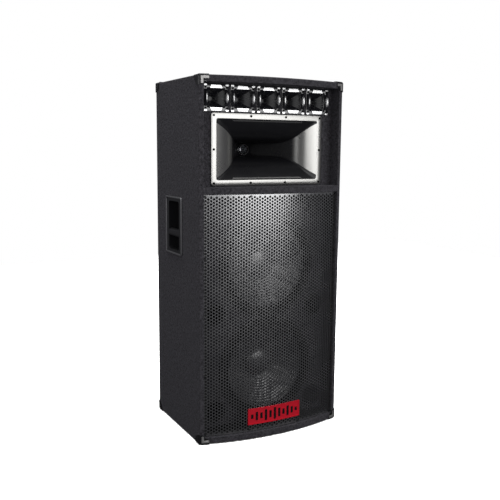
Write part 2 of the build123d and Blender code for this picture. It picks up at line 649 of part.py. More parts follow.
def make_woofers():
    parts = {}
    grouped = {"woofer_gaskets": [], "woofer_top_plates": [], "woofer_magnets": [], "woofer_yokes": []}
    gasket = ring(GASKET_INNER_R, WOOFER_R, (-RIM_THICK - GASKET_THICK, -RIM_THICK)) - rim_holes()
    yoke = disc(YOKE_R, YOKE_DEPTHS) + disc(POLE_R, (PLATE_DEPTHS[0], YOKE_DEPTHS[0]))
    yoke -= disc(VENT_R, (PLATE_DEPTHS[0] - 1, YOKE_DEPTHS[1] + 1))
    pieces = {
        "basket": basket(), "surround": surround(), "cone": cone(), "dust_cap": dust_cap(),
        "voice_coil": voice_coil(), "spider": spider(),
    }
    for which, z in WOOFER_Z.items():
        place = Pos(0, BAFFLE_Y, z)
        for name, piece in pieces.items():
            parts[f"woofer_{which}_{name}"] = place * piece
        grouped["woofer_gaskets"].append(place * gasket)
        grouped["woofer_top_plates"].append(place * ring(*PLATE_R, PLATE_DEPTHS))
        grouped["woofer_magnets"].append(place * ring(*MAGNET_R, MAGNET_DEPTHS))
        grouped["woofer_yokes"].append(place * yoke)
    front_y = BAFFLE_Y - RIM_THICK - GASKET_THICK
    screw = pan_screw(SCREW_SHANK, SCREW_HEAD, SCREW_LENGTH + RIM_THICK + GASKET_THICK)
    parts["woofer_screws"] = screw_set(screw, woofer_screw_places(front_y))
    return {**parts, **grouped}


# ---- Ports --------------------------------------------------------------------------------------
def make_ports():
    tube = ring(PORT_R, PORT_OUTER_R, (BAFFLE_Y, BAFFLE_Y + PORT_DEPTH))
    front_y = BAFFLE_Y - PORT_RIM
    rim = ring(PORT_R, PORT_RIM_R, (front_y, BAFFLE_Y))
    rim = fillet(rim.edges().filter_by_position(Axis.Y, front_y, front_y), 1.2)
    port = tube + rim
    return {"port_tubes": [Pos(x, 0, z) * port for x in (-PORT_X, PORT_X) for z in PORT_Z]}


# ---- Horns --------------------------------------------------------------------------------------
def flare(mouth, throat, depth, powers, steps, grow):
    """A rectangular horn's passage, widening faster towards the mouth; `grow` adds wall all round."""
    sections = []
    for i in range(steps + 1):
        share = i / steps
        width, height = [
            throat + (size - throat) * (1 - share) ** power for size, power in zip(mouth, powers)
        ]
        corner = min(width, height) * (0.08 + 0.4 * share) + grow
        outline = RectangleRounded(width + 2 * grow, height + 2 * grow, corner)
        sections.append(Pos(0, depth * share, 0) * Rot(-90, 0, 0) * outline)
    return loft(sections, ruled=True)


def horn_body(passage, wall, flange, corner, rim):
    """Flange and flared shell, with the mouth in the flange's front."""
    mouth = passage[0]
    shell = flare(*passage, wall) + plate(flange, corner, (-rim, 0))
    shell -= flare(*passage, 0)
    shell -= plate(mouth, min(mouth) * 0.08, (-rim - 1, 0))
    return shell


def make_horn():
    passage = (HORN_MOUTH, HORN_THROAT, HORN_DEPTH, HORN_POWERS, HORN_STEPS)
    horn = Pos(0, BAFFLE_Y, HORN_Z) * horn_body(passage, HORN_WALL, HORN_FLANGE, 12, HORN_RIM)
    places = horn_screw_places(BAFFLE_Y - HORN_RIM)
    horn -= shank_cuts(SCREW_SHANK, places, SCREW_LENGTH)
    return {"mid_horn": horn}


def make_driver():
    """Compression driver: front plate with its pole, magnet, rear plate, dome and rear cover."""
    bore = HORN_THROAT / 2
    magnet_y = DRIVER_Y + DRIVER_PLATE
    rear_y = magnet_y + DRIVER_MAGNET
    end_y = rear_y + DRIVER_REAR
    length = end_y - DRIVER_Y
    pole = disc(DRIVER_GAP[0], (DRIVER_Y, end_y), z=HORN_Z)
    front = disc(55, (DRIVER_Y, magnet_y), z=HORN_Z) + pole
    front -= Pos(0, DRIVER_Y, HORN_Z) * turned([(0, 0), (bore, 0), (10, length), (0, length)])
    rear = ring(DRIVER_GAP[1], 45, (rear_y, end_y), z=HORN_Z)
    magnet = ring(28, 52, (magnet_y, rear_y), z=HORN_Z)
    shell = [(0, 24), (34, 24), (44, 14), (44, 0), (38, 0), (38, 12), (31, 20), (0, 20)]
    cover = Pos(0, end_y, HORN_Z) * turned(shell)
    dome_front = ThreePointArc((0, 6), (12, 4.2), (DOME_R, 0))
    dome_back = ThreePointArc((0, 6.6), (12, 4.8), (DOME_R, 0.8))
    outline = dome_front + Line((DOME_R, 0), (DOME_R, 0.8)) + dome_back + Line((0, 6.6), (0, 6))
    dome = revolve(make_face(outline), Axis.Y) + ring(DOME_R, DOME_R + 0.8, (-5, 1))
    diaphragm = Pos(0, end_y + 2, HORN_Z) * dome
    return {
        "driver_plates": [front, rear], "driver_magnet": magnet,
        "driver_cover": cover, "driver_diaphragm": diaphragm,
    }


def make_tweeters():
    """Flared mouldings screwed to the baffle, each with its piezo capsule behind."""
    passage = (TWEETER_MOUTH, TWEETER_THROAT, TWEETER_DEPTH, TWEETER_POWERS, TWEETER_STEPS)
    body = horn_body(passage, TWEETER_WALL, (TWEETER_SIDE, TWEETER_SIDE), 5, TWEETER_RIM)
    back = TWEETER_DEPTH + 20
    capsule = disc(22, (TWEETER_DEPTH, back))
    capsule = fillet(capsule.edges().filter_by_position(Axis.Y, back, back), 4)
    capsule += [block((x - 2.5, x + 2.5), (back - 1, back + 8), (-0.5, 0.5)) for x in (-9, 9)]
    cuts = shank_cuts(SCREW_SHANK, tweeter_screw_places(BAFFLE_Y - TWEETER_RIM), SCREW_LENGTH)
    parts = {}
    capsules = []
    for i, x in enumerate(tweeter_centres(), start=1):
        place = Pos(x, BAFFLE_Y, TWEETER_Z)
        parts[f"tweeter_{i}"] = place * body - cuts
        capsules.append(place * capsule)
    parts["tweeter_capsules"] = capsules
    return parts


# ---- Terminals and crossover --------------------------------------------------------------------
def make_terminals():
    """Dished rear plate with two jack sockets and a pair of binding posts."""
    cup = plate(CUP_FLANGE, 8, (WOOD_BACK_Y, WOOD_BACK_Y + CUP_RIM), z=CUP_Z)
    cup += plate(grown(CUP_MOUTH, 2 * CUP_WALL), 8, (CUP_FLOOR_Y - CUP_WALL, WOOD_BACK_Y), z=CUP_Z)
    cup -= plate(CUP_MOUTH, 6, (CUP_FLOOR_Y, BACK_Y + 9), z=CUP_Z)
    jack_spots = [(x, JACK_Z) for x in (-JACK_X, JACK_X)]
    post_spots = [(x, POST_Z) for x in (-POST_X, POST_X)]
    through = (CUP_FLOOR_Y - CUP_WALL - 1, CUP_FLOOR_Y + 1)
    cup -= [disc(4.75, through, x, z) for x, z in jack_spots]
    cup -= [disc(3.0, through, x, z) for x, z in post_spots]
    cup -= shank_cuts(SCREW_SHANK, cup_screw_places(), SCREW_LENGTH)
    jacks = [Pos(x, CUP_FLOOR_Y, z) * jack() for x, z in jack_spots]
    posts = [Pos(x, CUP_FLOOR_Y, z) * post() for x, z in post_spots]
    parts = {"terminal_cup": cup, "jack_sockets": jacks, "post_studs": posts}
    for colour, (x, z) in zip(("black", "red"), post_spots):
        place = Pos(x, CUP_FLOOR_Y + COLLAR, z)
        parts[f"post_washer_{colour}"] = place * ring(STUD_R + POST_CLEARANCE, 5.5, (0, WASHER))
        parts[f"post_cap_{colour}"] = place * post_cap()
    return parts


def jack():
    """6.35 mm jack: box behind the cup's floor, bushing and hexagon nut in front of it."""
    box = block((-9, 9), (-26 - CUP_WALL, -CUP_WALL), (-11, 11))
    bushing = disc(4.75, (-CUP_WALL, 5))
    nut = Rot(-90, 0, 0) * extrude(RegularPolygon(7, 6), 3)
    return box + bushing + nut - disc(JACK_BORE_R, (-24, 6))


def post():
    """Threaded stud with a collar in front of the cup's floor and a nut behind it."""
    stud = disc(STUD_R, (-14, 22))
    collar = disc(6, (0, COLLAR))
    neck = disc(3.0, (-CUP_WALL, 0))
    nut = Pos(0, -CUP_WALL - 3, 0) * Rot(-90, 0, 0) * extrude(RegularPolygon(4.5, 6), 3)
    return stud + collar + neck + nut


def post_cap():
    """Fluted thumb nut of the binding post."""
    cap = disc(6, (WASHER, WASHER + POST_CAP))
    cap = chamfer(cap.edges().filter_by_position(Axis.Y, WASHER + POST_CAP, WASHER + POST_CAP), 0.8)
    flute = Pos(6.6, WASHER + POST_CAP / 2 + 1, 0) * Rot(-90, 0, 0) * Cylinder(1.1, POST_CAP)
    cap -= [Rot(0, 36 * i, 0) * flute for i in range(10)]
    return cap - disc(STUD_R + POST_CLEARANCE, (0, WASHER + POST_CAP + 1))


def make_crossover():
    """Circuit board on four spacers, with two coils, three capacitors and a resistor."""
    face = CROSSOVER_FRONT_Y
    back_y = face + BOARD_THICK
    half_width, half_height = CROSSOVER_SIZE[0] / 2, CROSSOVER_SIZE[1] / 2
    board_z = (CROSSOVER_Z - half_height, CROSSOVER_Z + half_height)
    board = block((-half_width, half_width), (face, back_y), board_z)
    spots = [(a * (half_width - 8), CROSSOVER_Z + b * (half_height - 8)) for a in (-1, 1) for b in (-1, 1)]
    spacers = [disc(4, (back_y, REAR_Y), x, z) for x, z in spots]
    coils = [ring(9, 19, (face - h, face), x, CROSSOVER_Z + 26) for x, h in ((-45, 18), (5, 14))]
    capacitor = Rot(0, 90, 0) * Cylinder(7, 30)
    capacitor_spots = ((-50, -12), (-50, -34), (-8, -34))
    capacitors = [Pos(x, face - 7, CROSSOVER_Z + z) * capacitor for x, z in capacitor_spots]
    resistor = block((20, 66), (face - 9, face), (CROSSOVER_Z - 40, CROSSOVER_Z - 30))
    return {"crossover": [board, *spacers, *coils, *capacitors, resistor]}


# ---- Leads --------------------------------------------------------------------------------------
def lead(points):
    """A round lead along straight runs joined by arcs as large as the runs allow."""
    radii = []
    for before, here, after in zip(points, points[1:], points[2:]):
        first = Vector(*here) - Vector(*before)
        second = Vector(*after) - Vector(*here)
        turn = math.radians(first.get_angle(second))
        radii.append(0.45 * min(first.length, second.length) / math.tan(turn / 2))
    print("lead radii", [round(radius) for radius in radii])
    path = FilletPolyline(*points, radius=radii)
    start = Plane(origin=path @ 0, z_dir=path % 0)
    return sweep(start * Circle(LEAD_R), path=path)


def make_wiring():
    """From the crossover to each bass driver, to the horn's driver and on to the middle tweeter."""
    tag_y = BAFFLE_Y + TAG_DEPTH
    tag_x = LEDGE[0] + 14
    leads = []
    for which, start_z, rise in (("upper", CROSSOVER_Z - 5, 1), ("lower", CROSSOVER_Z - 48, -1)):
        z = WOOFER_Z[which]
        middle_z = (start_z + z) / 2
        start_x = 72 if rise > 0 else 60
        leads.append(lead([
            (start_x, CROSSOVER_FRONT_Y, start_z), (start_x, 150, start_z), (110, 90, middle_z),
            (150, 40, z), (160, tag_y, z), (tag_x, tag_y, z),
        ]))
    start_z = CROSSOVER_Z + 48
    leads.append(lead([
        (-64, CROSSOVER_FRONT_Y, start_z), (-64, 150, start_z), (-130, 140, CROSSOVER_Z + 140),
        (*LEAD_HOLE, SHELF_Z - 30), (*LEAD_HOLE, SHELF_Z + 50), (-140, DRIVER_Y + 42, HORN_Z),
        (-44, DRIVER_Y + 42, HORN_Z),
    ]))
    start_y = BAFFLE_Y + TWEETER_DEPTH + 28
    leads.append(lead([
        (-9, start_y, TWEETER_Z), (-9, start_y + 50, TWEETER_Z), (-60, 60, TWEETER_Z - 50),
        (-120, DRIVER_Y + 36, HORN_Z + 60), (-110, DRIVER_Y + 36, HORN_Z + 9),
        (-44, DRIVER_Y + 36, HORN_Z + 9),
    ]))
    return {"wiring": leads}


# ---- Everything ---------------------------------------------------------------------------------
def build_parts():
    handles, handle_screws = make_handles()
    pan = pan_screw(SCREW_SHANK, SCREW_HEAD, SCREW_LENGTH)
    parts = {**make_boards(), **make_baffles(), **make_bracing(), **make_carpet(), **make_corners()}
    parts |= handles
    parts |= {**make_grille(), **make_badge(), **make_woofers(), **make_ports()}
    parts |= {**make_horn(), **make_driver(), **make_tweeters(), **make_terminals()}
    parts |= {**make_crossover(), **make_wiring()}
    parts["panel_screws"] = handle_screws + screw_set(pan, cup_screw_places())
    horn_places = horn_screw_places(BAFFLE_Y - HORN_RIM) + tweeter_screw_places(BAFFLE_Y - TWEETER_RIM)
    parts["horn_screws"] = screw_set(pan, horn_places)
    return parts


def main():
    os.makedirs("parts", exist_ok=True)
    for name, shape in build_parts().items():
        if isinstance(shape, list):
            shape = Compound(children=shape)
        export_step(shape, f"parts/{name}.step")


main()
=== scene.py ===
import math
from dataclasses import dataclass

import bmesh
import bpy
import numpy as np
from mathutils import Matrix, Vector


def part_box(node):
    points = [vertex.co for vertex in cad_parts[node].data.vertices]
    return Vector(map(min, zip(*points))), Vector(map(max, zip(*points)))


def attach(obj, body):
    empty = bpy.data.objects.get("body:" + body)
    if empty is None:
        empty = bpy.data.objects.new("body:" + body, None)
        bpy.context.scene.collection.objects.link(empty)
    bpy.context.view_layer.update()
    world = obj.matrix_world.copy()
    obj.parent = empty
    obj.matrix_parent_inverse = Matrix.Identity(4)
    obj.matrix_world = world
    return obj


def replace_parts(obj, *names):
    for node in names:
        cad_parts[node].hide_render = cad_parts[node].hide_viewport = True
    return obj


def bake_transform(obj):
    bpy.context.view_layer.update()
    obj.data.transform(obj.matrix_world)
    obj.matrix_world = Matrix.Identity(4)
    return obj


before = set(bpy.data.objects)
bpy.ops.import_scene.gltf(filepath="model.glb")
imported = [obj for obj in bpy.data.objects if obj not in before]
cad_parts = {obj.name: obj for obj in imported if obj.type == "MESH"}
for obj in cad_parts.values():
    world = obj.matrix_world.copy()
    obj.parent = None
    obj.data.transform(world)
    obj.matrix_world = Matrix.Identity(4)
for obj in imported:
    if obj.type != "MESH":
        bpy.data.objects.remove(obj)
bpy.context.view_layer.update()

# ---- Places read from the frame ------------
CABINET = "cabinet"
LOW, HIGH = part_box("carpet_wrap")
BAFFLE_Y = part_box("lower_baffle")[0].y
GRILLE_LOW, GRILLE_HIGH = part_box("grille")
WOOFERS = ("lower", "upper")
TWEETERS = range(1, 6)


def baffle_centre(node):
    """Middle of a node's box, moved to the front of the baffle."""
    low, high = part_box(node)
    return Vector(((low.x + high.x) / 2, BAFFLE_Y, (low.z + high.z) / 2))


# ---- Materials -----------------------------
class Shader:
    """A Principled material whose colour, roughness and bump come from procedural nodes."""

    def __init__(self, name, colour, roughness, metallic=0.0, **sockets):
        self.material = bpy.data.materials.new(name)
        self.material.use_nodes = True
        self.tree = self.material.node_tree
        self.bsdf = self.tree.nodes["Principled BSDF"]
        self.colour = (*colour, 1.0)
        self.bsdf.inputs["Base Color"].default_value = self.colour
        self.bsdf.inputs["Roughness"].default_value = roughness
        self.bsdf.inputs["Metallic"].default_value = metallic
        for socket, value in sockets.items():
            self.bsdf.inputs[socket.replace("_", " ")].default_value = value
        self.place = self.tree.nodes.new("ShaderNodeTexCoord").outputs["Object"]

    def node(self, kind, inputs=(), **settings):
        made = self.tree.nodes.new(kind)
        for key, value in settings.items():
            setattr(made, key, value)
        for socket, value in dict(inputs).items():
            if isinstance(value, bpy.types.NodeSocket):
                self.tree.links.new(value, made.inputs[socket])
            else:
                made.inputs[socket].default_value = value
        return made

    def stretched(self, scale):
        return self.node("ShaderNodeMapping", {"Vector": self.place, "Scale": scale}).outputs["Vector"]

    def noise(self, scale, detail=4.0, roughness=0.6, place=None):
        inputs = {"Vector": place or self.place, "Scale": scale, "Detail": detail, "Roughness": roughness}
        return self.node("ShaderNodeTexNoise", inputs).outputs["Fac"]

    def cells(self, scale, feature="F1", place=None):
        inputs = {"Vector": place or self.place, "Scale": scale}
        return self.node("ShaderNodeTexVoronoi", inputs, feature=feature).outputs["Distance"]

    def waves(self, scale, distortion, place=None, direction="X"):
        inputs = {"Vector": place or self.place, "Scale": scale, "Distortion": distortion, "Detail": 3.0}
        return self.node("ShaderNodeTexWave", inputs, bands_direction=direction).outputs["Fac"]

    def spread(self, value, low, high):
        inputs = {"Value": value, "To Min": low, "To Max": high}
        return self.node("ShaderNodeMapRange", inputs).outputs["Result"]

    def mixed(self, value, first, second):
        ramp = self.node("ShaderNodeMix", data_type="RGBA")
        self.tree.links.new(value, ramp.inputs["Factor"])
        for socket, colour in (("A", first), ("B", second)):
            target = [s for s in ramp.inputs if s.name == socket and s.type == "RGBA"][0]
            if isinstance(colour, bpy.types.NodeSocket):
                self.tree.links.new(colour, target)
            else:
                target.default_value = (*colour, 1.0)
        return [s for s in ramp.outputs if s.type == "RGBA"][0]

    def set_colour(self, socket):
        self.tree.links.new(socket, self.bsdf.inputs["Base Color"])
        return self

    def set_roughness(self, socket):
        self.tree.links.new(socket, self.bsdf.inputs["Roughness"])
        return self

    def bump(self, height, strength, distance):
        made = self.node("ShaderNodeBump", {"Height": height, "Strength": strength, "Distance": distance})
        before = self.bsdf.inputs["Normal"].links
        if before:
            self.tree.links.new(before[0].from_socket, made.inputs["Normal"])
        self.tree.links.new(made.outputs["Normal"], self.bsdf.inputs["Normal"])
        return self


def shade(colour, factor):
    return tuple(min(1.0, part * factor) for part in colour)


def carpet_material():
    """Needled carpet: short tangled fibre, slightly clumped, with paler flecks and worn patches."""
    colour = (0.056, 0.053, 0.061)
    m = Shader(
        "carpet", colour, 0.95, Sheen_Weight=0.18, Sheen_Roughness=0.6, Sheen_Tint=(0.6, 0.6, 0.65, 1))
    fibre = m.noise(520, 6, 0.8)
    clump = m.noise(120, 5, 0.7)
    wear_and_shade = m.noise(7, 4, 0.6)
    fleck = m.spread(m.cells(260), 1.0, -1.9)
    base = m.mixed(m.spread(clump, -1.4, 2.4), shade(colour, 0.35), shade(colour, 1.9))
    base = m.mixed(m.spread(wear_and_shade, -0.7, 0.9), base, shade(colour, 1.15))
    m.set_colour(m.mixed(fleck, base, shade(colour, 3.6)))
    m.bump(clump, 0.9, 0.003)
    m.bump(fibre, 1.0, 0.0014)
    return m.material


def powder_coat(name, colour, roughness, metallic, grain=1500, depth=0.0001, **sockets):
    """Sprayed coat on metal: faint orange peel and slightly uneven gloss."""
    m = Shader(name, colour, roughness, metallic, **sockets)
    peel = m.noise(grain, 2, 0.5)
    tone = m.noise(14, 3, 0.5)
    m.set_colour(m.mixed(tone, shade(colour, 0.85), shade(colour, 1.15)))
    m.set_roughness(m.spread(tone, roughness * 0.85, roughness * 1.2))
    m.bump(peel, 0.25, depth)
    return m.material


def moulded(name, colour, roughness, grain=900.0, depth=0.00012, **sockets):
    """Moulded plastic with a fine spark-eroded grain and rubbed places."""
    m = Shader(name, colour, roughness, **sockets)
    rubbed = m.noise(9, 4, 0.6)
    m.set_colour(m.mixed(rubbed, shade(colour, 0.8), shade(colour, 1.3)))
    m.set_roughness(m.spread(rubbed, roughness * 0.8, min(1.0, roughness * 1.25)))
    m.bump(m.cells(grain), 0.3, depth)
    return m.material


def polished(name, colour, roughness, **sockets):
    """Polished moulding: clear gloss with faint flow marks and a little dust."""
    m = Shader(name, colour, roughness, **sockets)
    flow = m.noise(22, 2, 0.4, m.stretched((1.0, 1.0, 3.0)))
    dust = m.noise(700, 3, 0.6)
    m.set_colour(m.mixed(m.spread(dust, -0.6, 0.6), colour, shade(colour, 2.2)))
    m.set_roughness(m.spread(flow, roughness * 0.7, roughness * 1.5))
    m.bump(flow, 0.08, 0.0006)
    return m.material


def brushed(name, colour, roughness, direction=(4.0, 4.0, 260.0), metallic=1.0, **sockets):
    """Metal or metallic paint with fine parallel brush marks and soft stains."""
    m = Shader(name, colour, roughness, metallic, **sockets)
    marks = m.noise(5, 5, 0.7, m.stretched(direction))
    stain = m.noise(11, 3, 0.5)
    m.set_colour(m.mixed(stain, shade(colour, 0.92), shade(colour, 1.05)))
    m.set_roughness(m.spread(marks, roughness * 0.7, roughness * 1.35))
    m.bump(marks, 0.12, 0.00012)
    return m.material


def plywood_material():
    """Rotary-cut face veneer: long wavy grain along Z with pores and a warm tone."""
    light, dark = (0.56, 0.40, 0.23), (0.36, 0.22, 0.11)
    m = Shader("plywood", light, 0.6)
    along = m.stretched((9.0, 9.0, 0.9))
    grain = m.waves(2.2, 9.0, along)
    pores = m.noise(160, 3, 0.6, m.stretched((6.0, 6.0, 0.4)))
    tone = m.mixed(grain, light, dark)
    m.set_colour(m.mixed(m.spread(pores, -0.3, 0.7), tone, shade(dark, 0.7)))
    m.set_roughness(m.spread(grain, 0.5, 0.75))
    m.bump(pores, 0.3, 0.0003)
    return m.material


def black_wood_material():
    """Board sprayed black, with the grain telegraphing through."""
    colour = (0.012, 0.012, 0.013)
    m = Shader("black_wood", colour, 0.65)
    grain = m.noise(40, 4, 0.6, m.stretched((6.0, 6.0, 0.5)))
    m.set_colour(m.mixed(grain, colour, shade(colour, 1.9)))
    m.set_roughness(m.spread(grain, 0.5, 0.8))
    m.bump(grain, 0.3, 0.0003)
    return m.material


def paper_material():
    """Pressed, coated paper pulp: short fibres under a thin damping coat."""
    colour = (0.05, 0.05, 0.055)
    m = Shader(
        "paper_cone", colour, 0.38, Specular_IOR_Level=1.0, Coat_Weight=1.0, Coat_Roughness=0.22,
        Coat_IOR=2.0)
    fibre = m.noise(380, 6, 0.7)
    blotch = m.noise(30, 3, 0.5)
    m.set_colour(m.mixed(blotch, shade(colour, 0.7), shade(colour, 1.5)))
    m.set_roughness(m.spread(fibre, 0.3, 0.5))
    m.bump(fibre, 0.35, 0.0003)
    return m.material


def woven(name, colour, count, rough=0.85):
    """Woven cloth: two sets of threads crossing, dipped in resin."""
    m = Shader(name, colour, rough, Sheen_Weight=0.15)
    warp = m.waves(count, 0.4, direction="X")
    weft = m.waves(count, 0.4, direction="Z")
    cross = m.node("ShaderNodeMath", {0: warp, 1: weft}, operation="MULTIPLY").outputs["Value"]
    m.set_colour(m.mixed(cross, shade(colour, 0.6), shade(colour, 1.4)))
    m.bump(cross, 0.5, 0.0004)
    return m.material


def ferrite_material():
    """Ground ferrite: dark grey, matt, with grinding lines and small chips."""
    colour = (0.055, 0.055, 0.06)
    m = Shader("ferrite", colour, 0.55)
    lines = m.noise(30, 4, 0.6, m.stretched((1.0, 30.0, 1.0)))
    chips = m.spread(m.cells(160), -0.4, 1.0)
    m.set_colour(m.mixed(lines, shade(colour, 0.7), shade(colour, 1.5)))
    m.bump(lines, 0.2, 0.0002)
    m.bump(chips, 0.15, 0.0002)
    return m.material


def wound_material():
    """Enamelled copper wire laid turn on turn."""
    colour = (0.50, 0.20, 0.08)
    m = Shader("copper_winding", colour, 0.3, 1.0)
    turns = m.waves(320, 0.0, direction="Y")
    m.set_colour(m.mixed(turns, shade(colour, 0.4), shade(colour, 1.3)))
    m.bump(turns, 0.6, 0.0003)
    return m.material


def horn_paint_material():
    """Silver paint whose colour and metalness fade to near-black deeper into the horn: painted shade in the
    horn's depths.
    """
    silver, painted_shade_colour = (0.54, 0.535, 0.515), (0.016, 0.016, 0.018)
    m = Shader("silver_horn", silver, 0.26, 1.0)
    # The silver fades to near-black over this depth range behind the baffle: painted shade.
    painted_shade_ends = (BAFFLE_Y + 0.004, BAFFLE_Y + 0.034)
    depth = m.node("ShaderNodeSeparateXYZ", {"Vector": m.place}).outputs["Y"]
    speckle = m.noise(260, 4, 0.7)
    cloud = m.noise(12, 3, 0.5)
    reach = m.node("ShaderNodeMapRange", {
        "Value": depth, "From Min": painted_shade_ends[0], "From Max": painted_shade_ends[1]}).outputs["Result"]
    grainy = m.node("ShaderNodeMath", {0: m.spread(speckle, -0.15, 0.15), 1: reach}, operation="ADD")
    wear_and_shade = m.node("ShaderNodeClamp", {"Value": grainy.outputs["Value"]}).outputs["Result"]
    paint = m.mixed(cloud, shade(silver, 0.95), shade(silver, 1.04))
    # Painted shade: the speckled depth mask darkens the silver towards the throat.
    m.set_colour(m.mixed(wear_and_shade, paint, painted_shade_colour))
    m.tree.links.new(m.spread(wear_and_shade, 1.0, 0.0), m.bsdf.inputs["Metallic"])
    m.set_roughness(m.spread(cloud, 0.24, 0.32))
    m.bump(speckle, 0.02, 0.0001)
    return m.material


def badge_red_material():
    """Red moulding with a fine sparkle and a slightly worn gloss."""
    colour = (1.0, 0.006, 0.028)
    m = Shader("badge_red", colour, 0.42, Specular_IOR_Level=0.35)
    sparkle = m.cells(1500)
    wear = m.noise(60, 4, 0.7)
    m.set_colour(m.mixed(wear, shade(colour, 0.9), (1.0, 0.02, 0.05)))
    m.set_roughness(m.spread(wear, 0.34, 0.55))
    m.bump(sparkle, 0.12, 0.0001)
    return m.material


MATERIALS = {
    "carpet": carpet_material(),
    "plywood": plywood_material(),
    "black_wood": black_wood_material(),
    "corner_steel": powder_coat(
        "corner_steel", (0.035, 0.035, 0.038), 0.22, 0.55, 400, 0.0002, Coat_Weight=0.6),
    "black_steel": powder_coat(
        "black_steel", (0.005, 0.005, 0.005), 0.6, 0.0, 900, Specular_IOR_Level=0.15),
    # Bright steel for the protector ribs: a painted highlight on the dark corners.
    "rib_painted_highlight": brushed("rib_painted_highlight", (0.80, 0.79, 0.77), 0.35, (60.0, 60.0, 8.0), 0.8),
    "screw_steel": brushed("screw_steel", (0.10, 0.10, 0.105), 0.35),
    "black_plastic": moulded("black_plastic", (0.026, 0.026, 0.029), 0.3),
    # Light grey metal for the handle beads: a painted highlight on black plastic.
    "bead_painted_highlight": brushed(
        "bead_painted_highlight", (0.34, 0.34, 0.35), 0.3, (8.0, 8.0, 40.0), 0.7, Coat_Weight=0.5),
    "grille_steel": powder_coat("grille_steel", (0.50, 0.50, 0.505), 0.26, 0.96),
    "grille_inside": powder_coat("grille_inside", (0.008, 0.008, 0.008), 0.6, 0.0),
    "badge_red": badge_red_material(),
    "badge_black": polished("badge_black", (0.010, 0.008, 0.009), 0.3),
    "basket_steel": powder_coat("basket_steel", (0.02, 0.02, 0.021), 0.42, 0.2, 260, 0.0004),
    "paper_cone": paper_material(),
    "surround_cloth": woven("surround_cloth", (0.02, 0.02, 0.022), 260),
    "spider_cloth": woven("spider_cloth", (0.50, 0.34, 0.14), 300),
    "gasket": moulded("gasket", (0.016, 0.016, 0.016), 0.8, 500, 0.0003),
    "ferrite": ferrite_material(),
    "zinc_steel": brushed("zinc_steel", (0.55, 0.56, 0.58), 0.32, (60.0, 4.0, 4.0)),
    "copper": wound_material(),
    "silver_horn": horn_paint_material(),
    "horn_black": polished("horn_black", (0.013, 0.013, 0.015), 0.3),
    "tweeter_gloss": polished(
        "tweeter_gloss", (0.018, 0.018, 0.023), 0.24, Specular_IOR_Level=1.0, Coat_Weight=0.6, Coat_IOR=1.9),
    "chrome_trim": brushed("chrome_trim", (0.98, 0.98, 0.985), 0.24, (90.0, 4.0, 4.0), 0.85),
    "diaphragm": brushed("diaphragm", (0.75, 0.75, 0.78), 0.2, (50.0, 50.0, 50.0)),
    "brass": brushed("brass", (0.72, 0.66, 0.50), 0.25, (4.0, 90.0, 4.0)),
    "post_red": polished("post_red", (0.45, 0.01, 0.012), 0.25),
    "post_black": polished("post_black", (0.012, 0.012, 0.012), 0.25),
    "circuit": moulded("circuit", (0.02, 0.12, 0.05), 0.4, 300, 0.0002),
    "capacitor": polished("capacitor", (0.10, 0.02, 0.02), 0.3),
    "ceramic": moulded("ceramic", (0.62, 0.60, 0.55), 0.7, 500, 0.0003),
    "lead_sheath": moulded("lead_sheath", (0.02, 0.02, 0.022), 0.5, 500, 0.0002),
}


def paint(node, *names):
    """Gives a carried-over CAD node its material."""
    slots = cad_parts[node].data.materials
    slots.clear()
    for name in names:
        slots.append(MATERIALS[name])


def paint_parts(node, names, choose):
    """Gives each face of a CAD node one of several materials, chosen by the face's centre."""
    paint(node, *names)
    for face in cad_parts[node].data.polygons:
        face.material_index = names.index(choose(face.center))


def paint_frame():
    finishes = {
        "plywood": (
            "side_panel_left", "side_panel_right", "top_panel", "bottom_panel", "rear_panel",
            "upper_baffle", "lower_baffle", "mid_shelf", "window_brace", "corner_cleats"),
        "black_wood": ["grille_frame"],
        "carpet": ("carpet_wrap", "baffle_carpets"),
        "corner_steel": ["corner_protectors"],
        "screw_steel": ("corner_screws", "panel_screws", "grille_screws", "woofer_screws"),
        "black_steel": ["horn_screws"],
        "black_plastic": (
            "handle_left", "handle_right", "driver_cover", "tweeter_capsules", "port_tubes",
            "terminal_cup", "jack_sockets"),
        "basket_steel": [f"woofer_{which}_basket" for which in WOOFERS],
        "copper": [f"woofer_{which}_voice_coil" for which in WOOFERS],
        "gasket": ["woofer_gaskets"],
        "zinc_steel": ("woofer_top_plates", "woofer_yokes", "driver_plates"),
        "ferrite": ("woofer_magnets", "driver_magnet"),
        "diaphragm": ["driver_diaphragm"],
        "brass": ("post_studs", "post_washer_red", "post_washer_black"),
        "post_red": ["post_cap_red"],
        "post_black": ["post_cap_black"],
        "lead_sheath": ["wiring"],
    }
    for material, nodes in finishes.items():
        for node in nodes:
            paint(node, material)


def paint_crossover():
    """Green board, copper coils, dark red capacitors and a pale resistor."""
    board_and_spacers = 0.0082
    resistor_offset = 0.015
    low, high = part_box("crossover")
    middle_x, middle_z = (low.x + high.x) / 2, (low.z + high.z) / 2

    def choose(centre):
        if centre.y > high.y - board_and_spacers:
            return "circuit"
        if centre.z > middle_z:
            return "copper"
        return "ceramic" if centre.x > middle_x + resistor_offset else "capacitor"

    paint_parts("crossover", ["circuit", "copper", "capacitor", "ceramic"], choose)


# ---- Mesh helpers --------------------------
WELD = 1e-6  # make_piece joins points nearer than this


def new_mesh(name, points, faces, material_names, face_materials):
    mesh = bpy.data.meshes.new(name)
    mesh.from_pydata(points, [], faces)
    for material in material_names:
        mesh.materials.append(MATERIALS[material])
    if face_materials is not None:
        mesh.polygons.foreach_set("material_index", face_materials)
    return mesh


def new_object(mesh, body, sharp):
    """Puts a mesh in the scene, smooth except where faces meet at more than the sharp angle."""
    mesh.shade_smooth()
    mesh.set_sharp_from_angle(angle=math.radians(sharp))
    piece = bpy.data.objects.new(mesh.name, mesh)
    bpy.context.scene.collection.objects.link(piece)
    if body:
        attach(piece, body)
    return piece


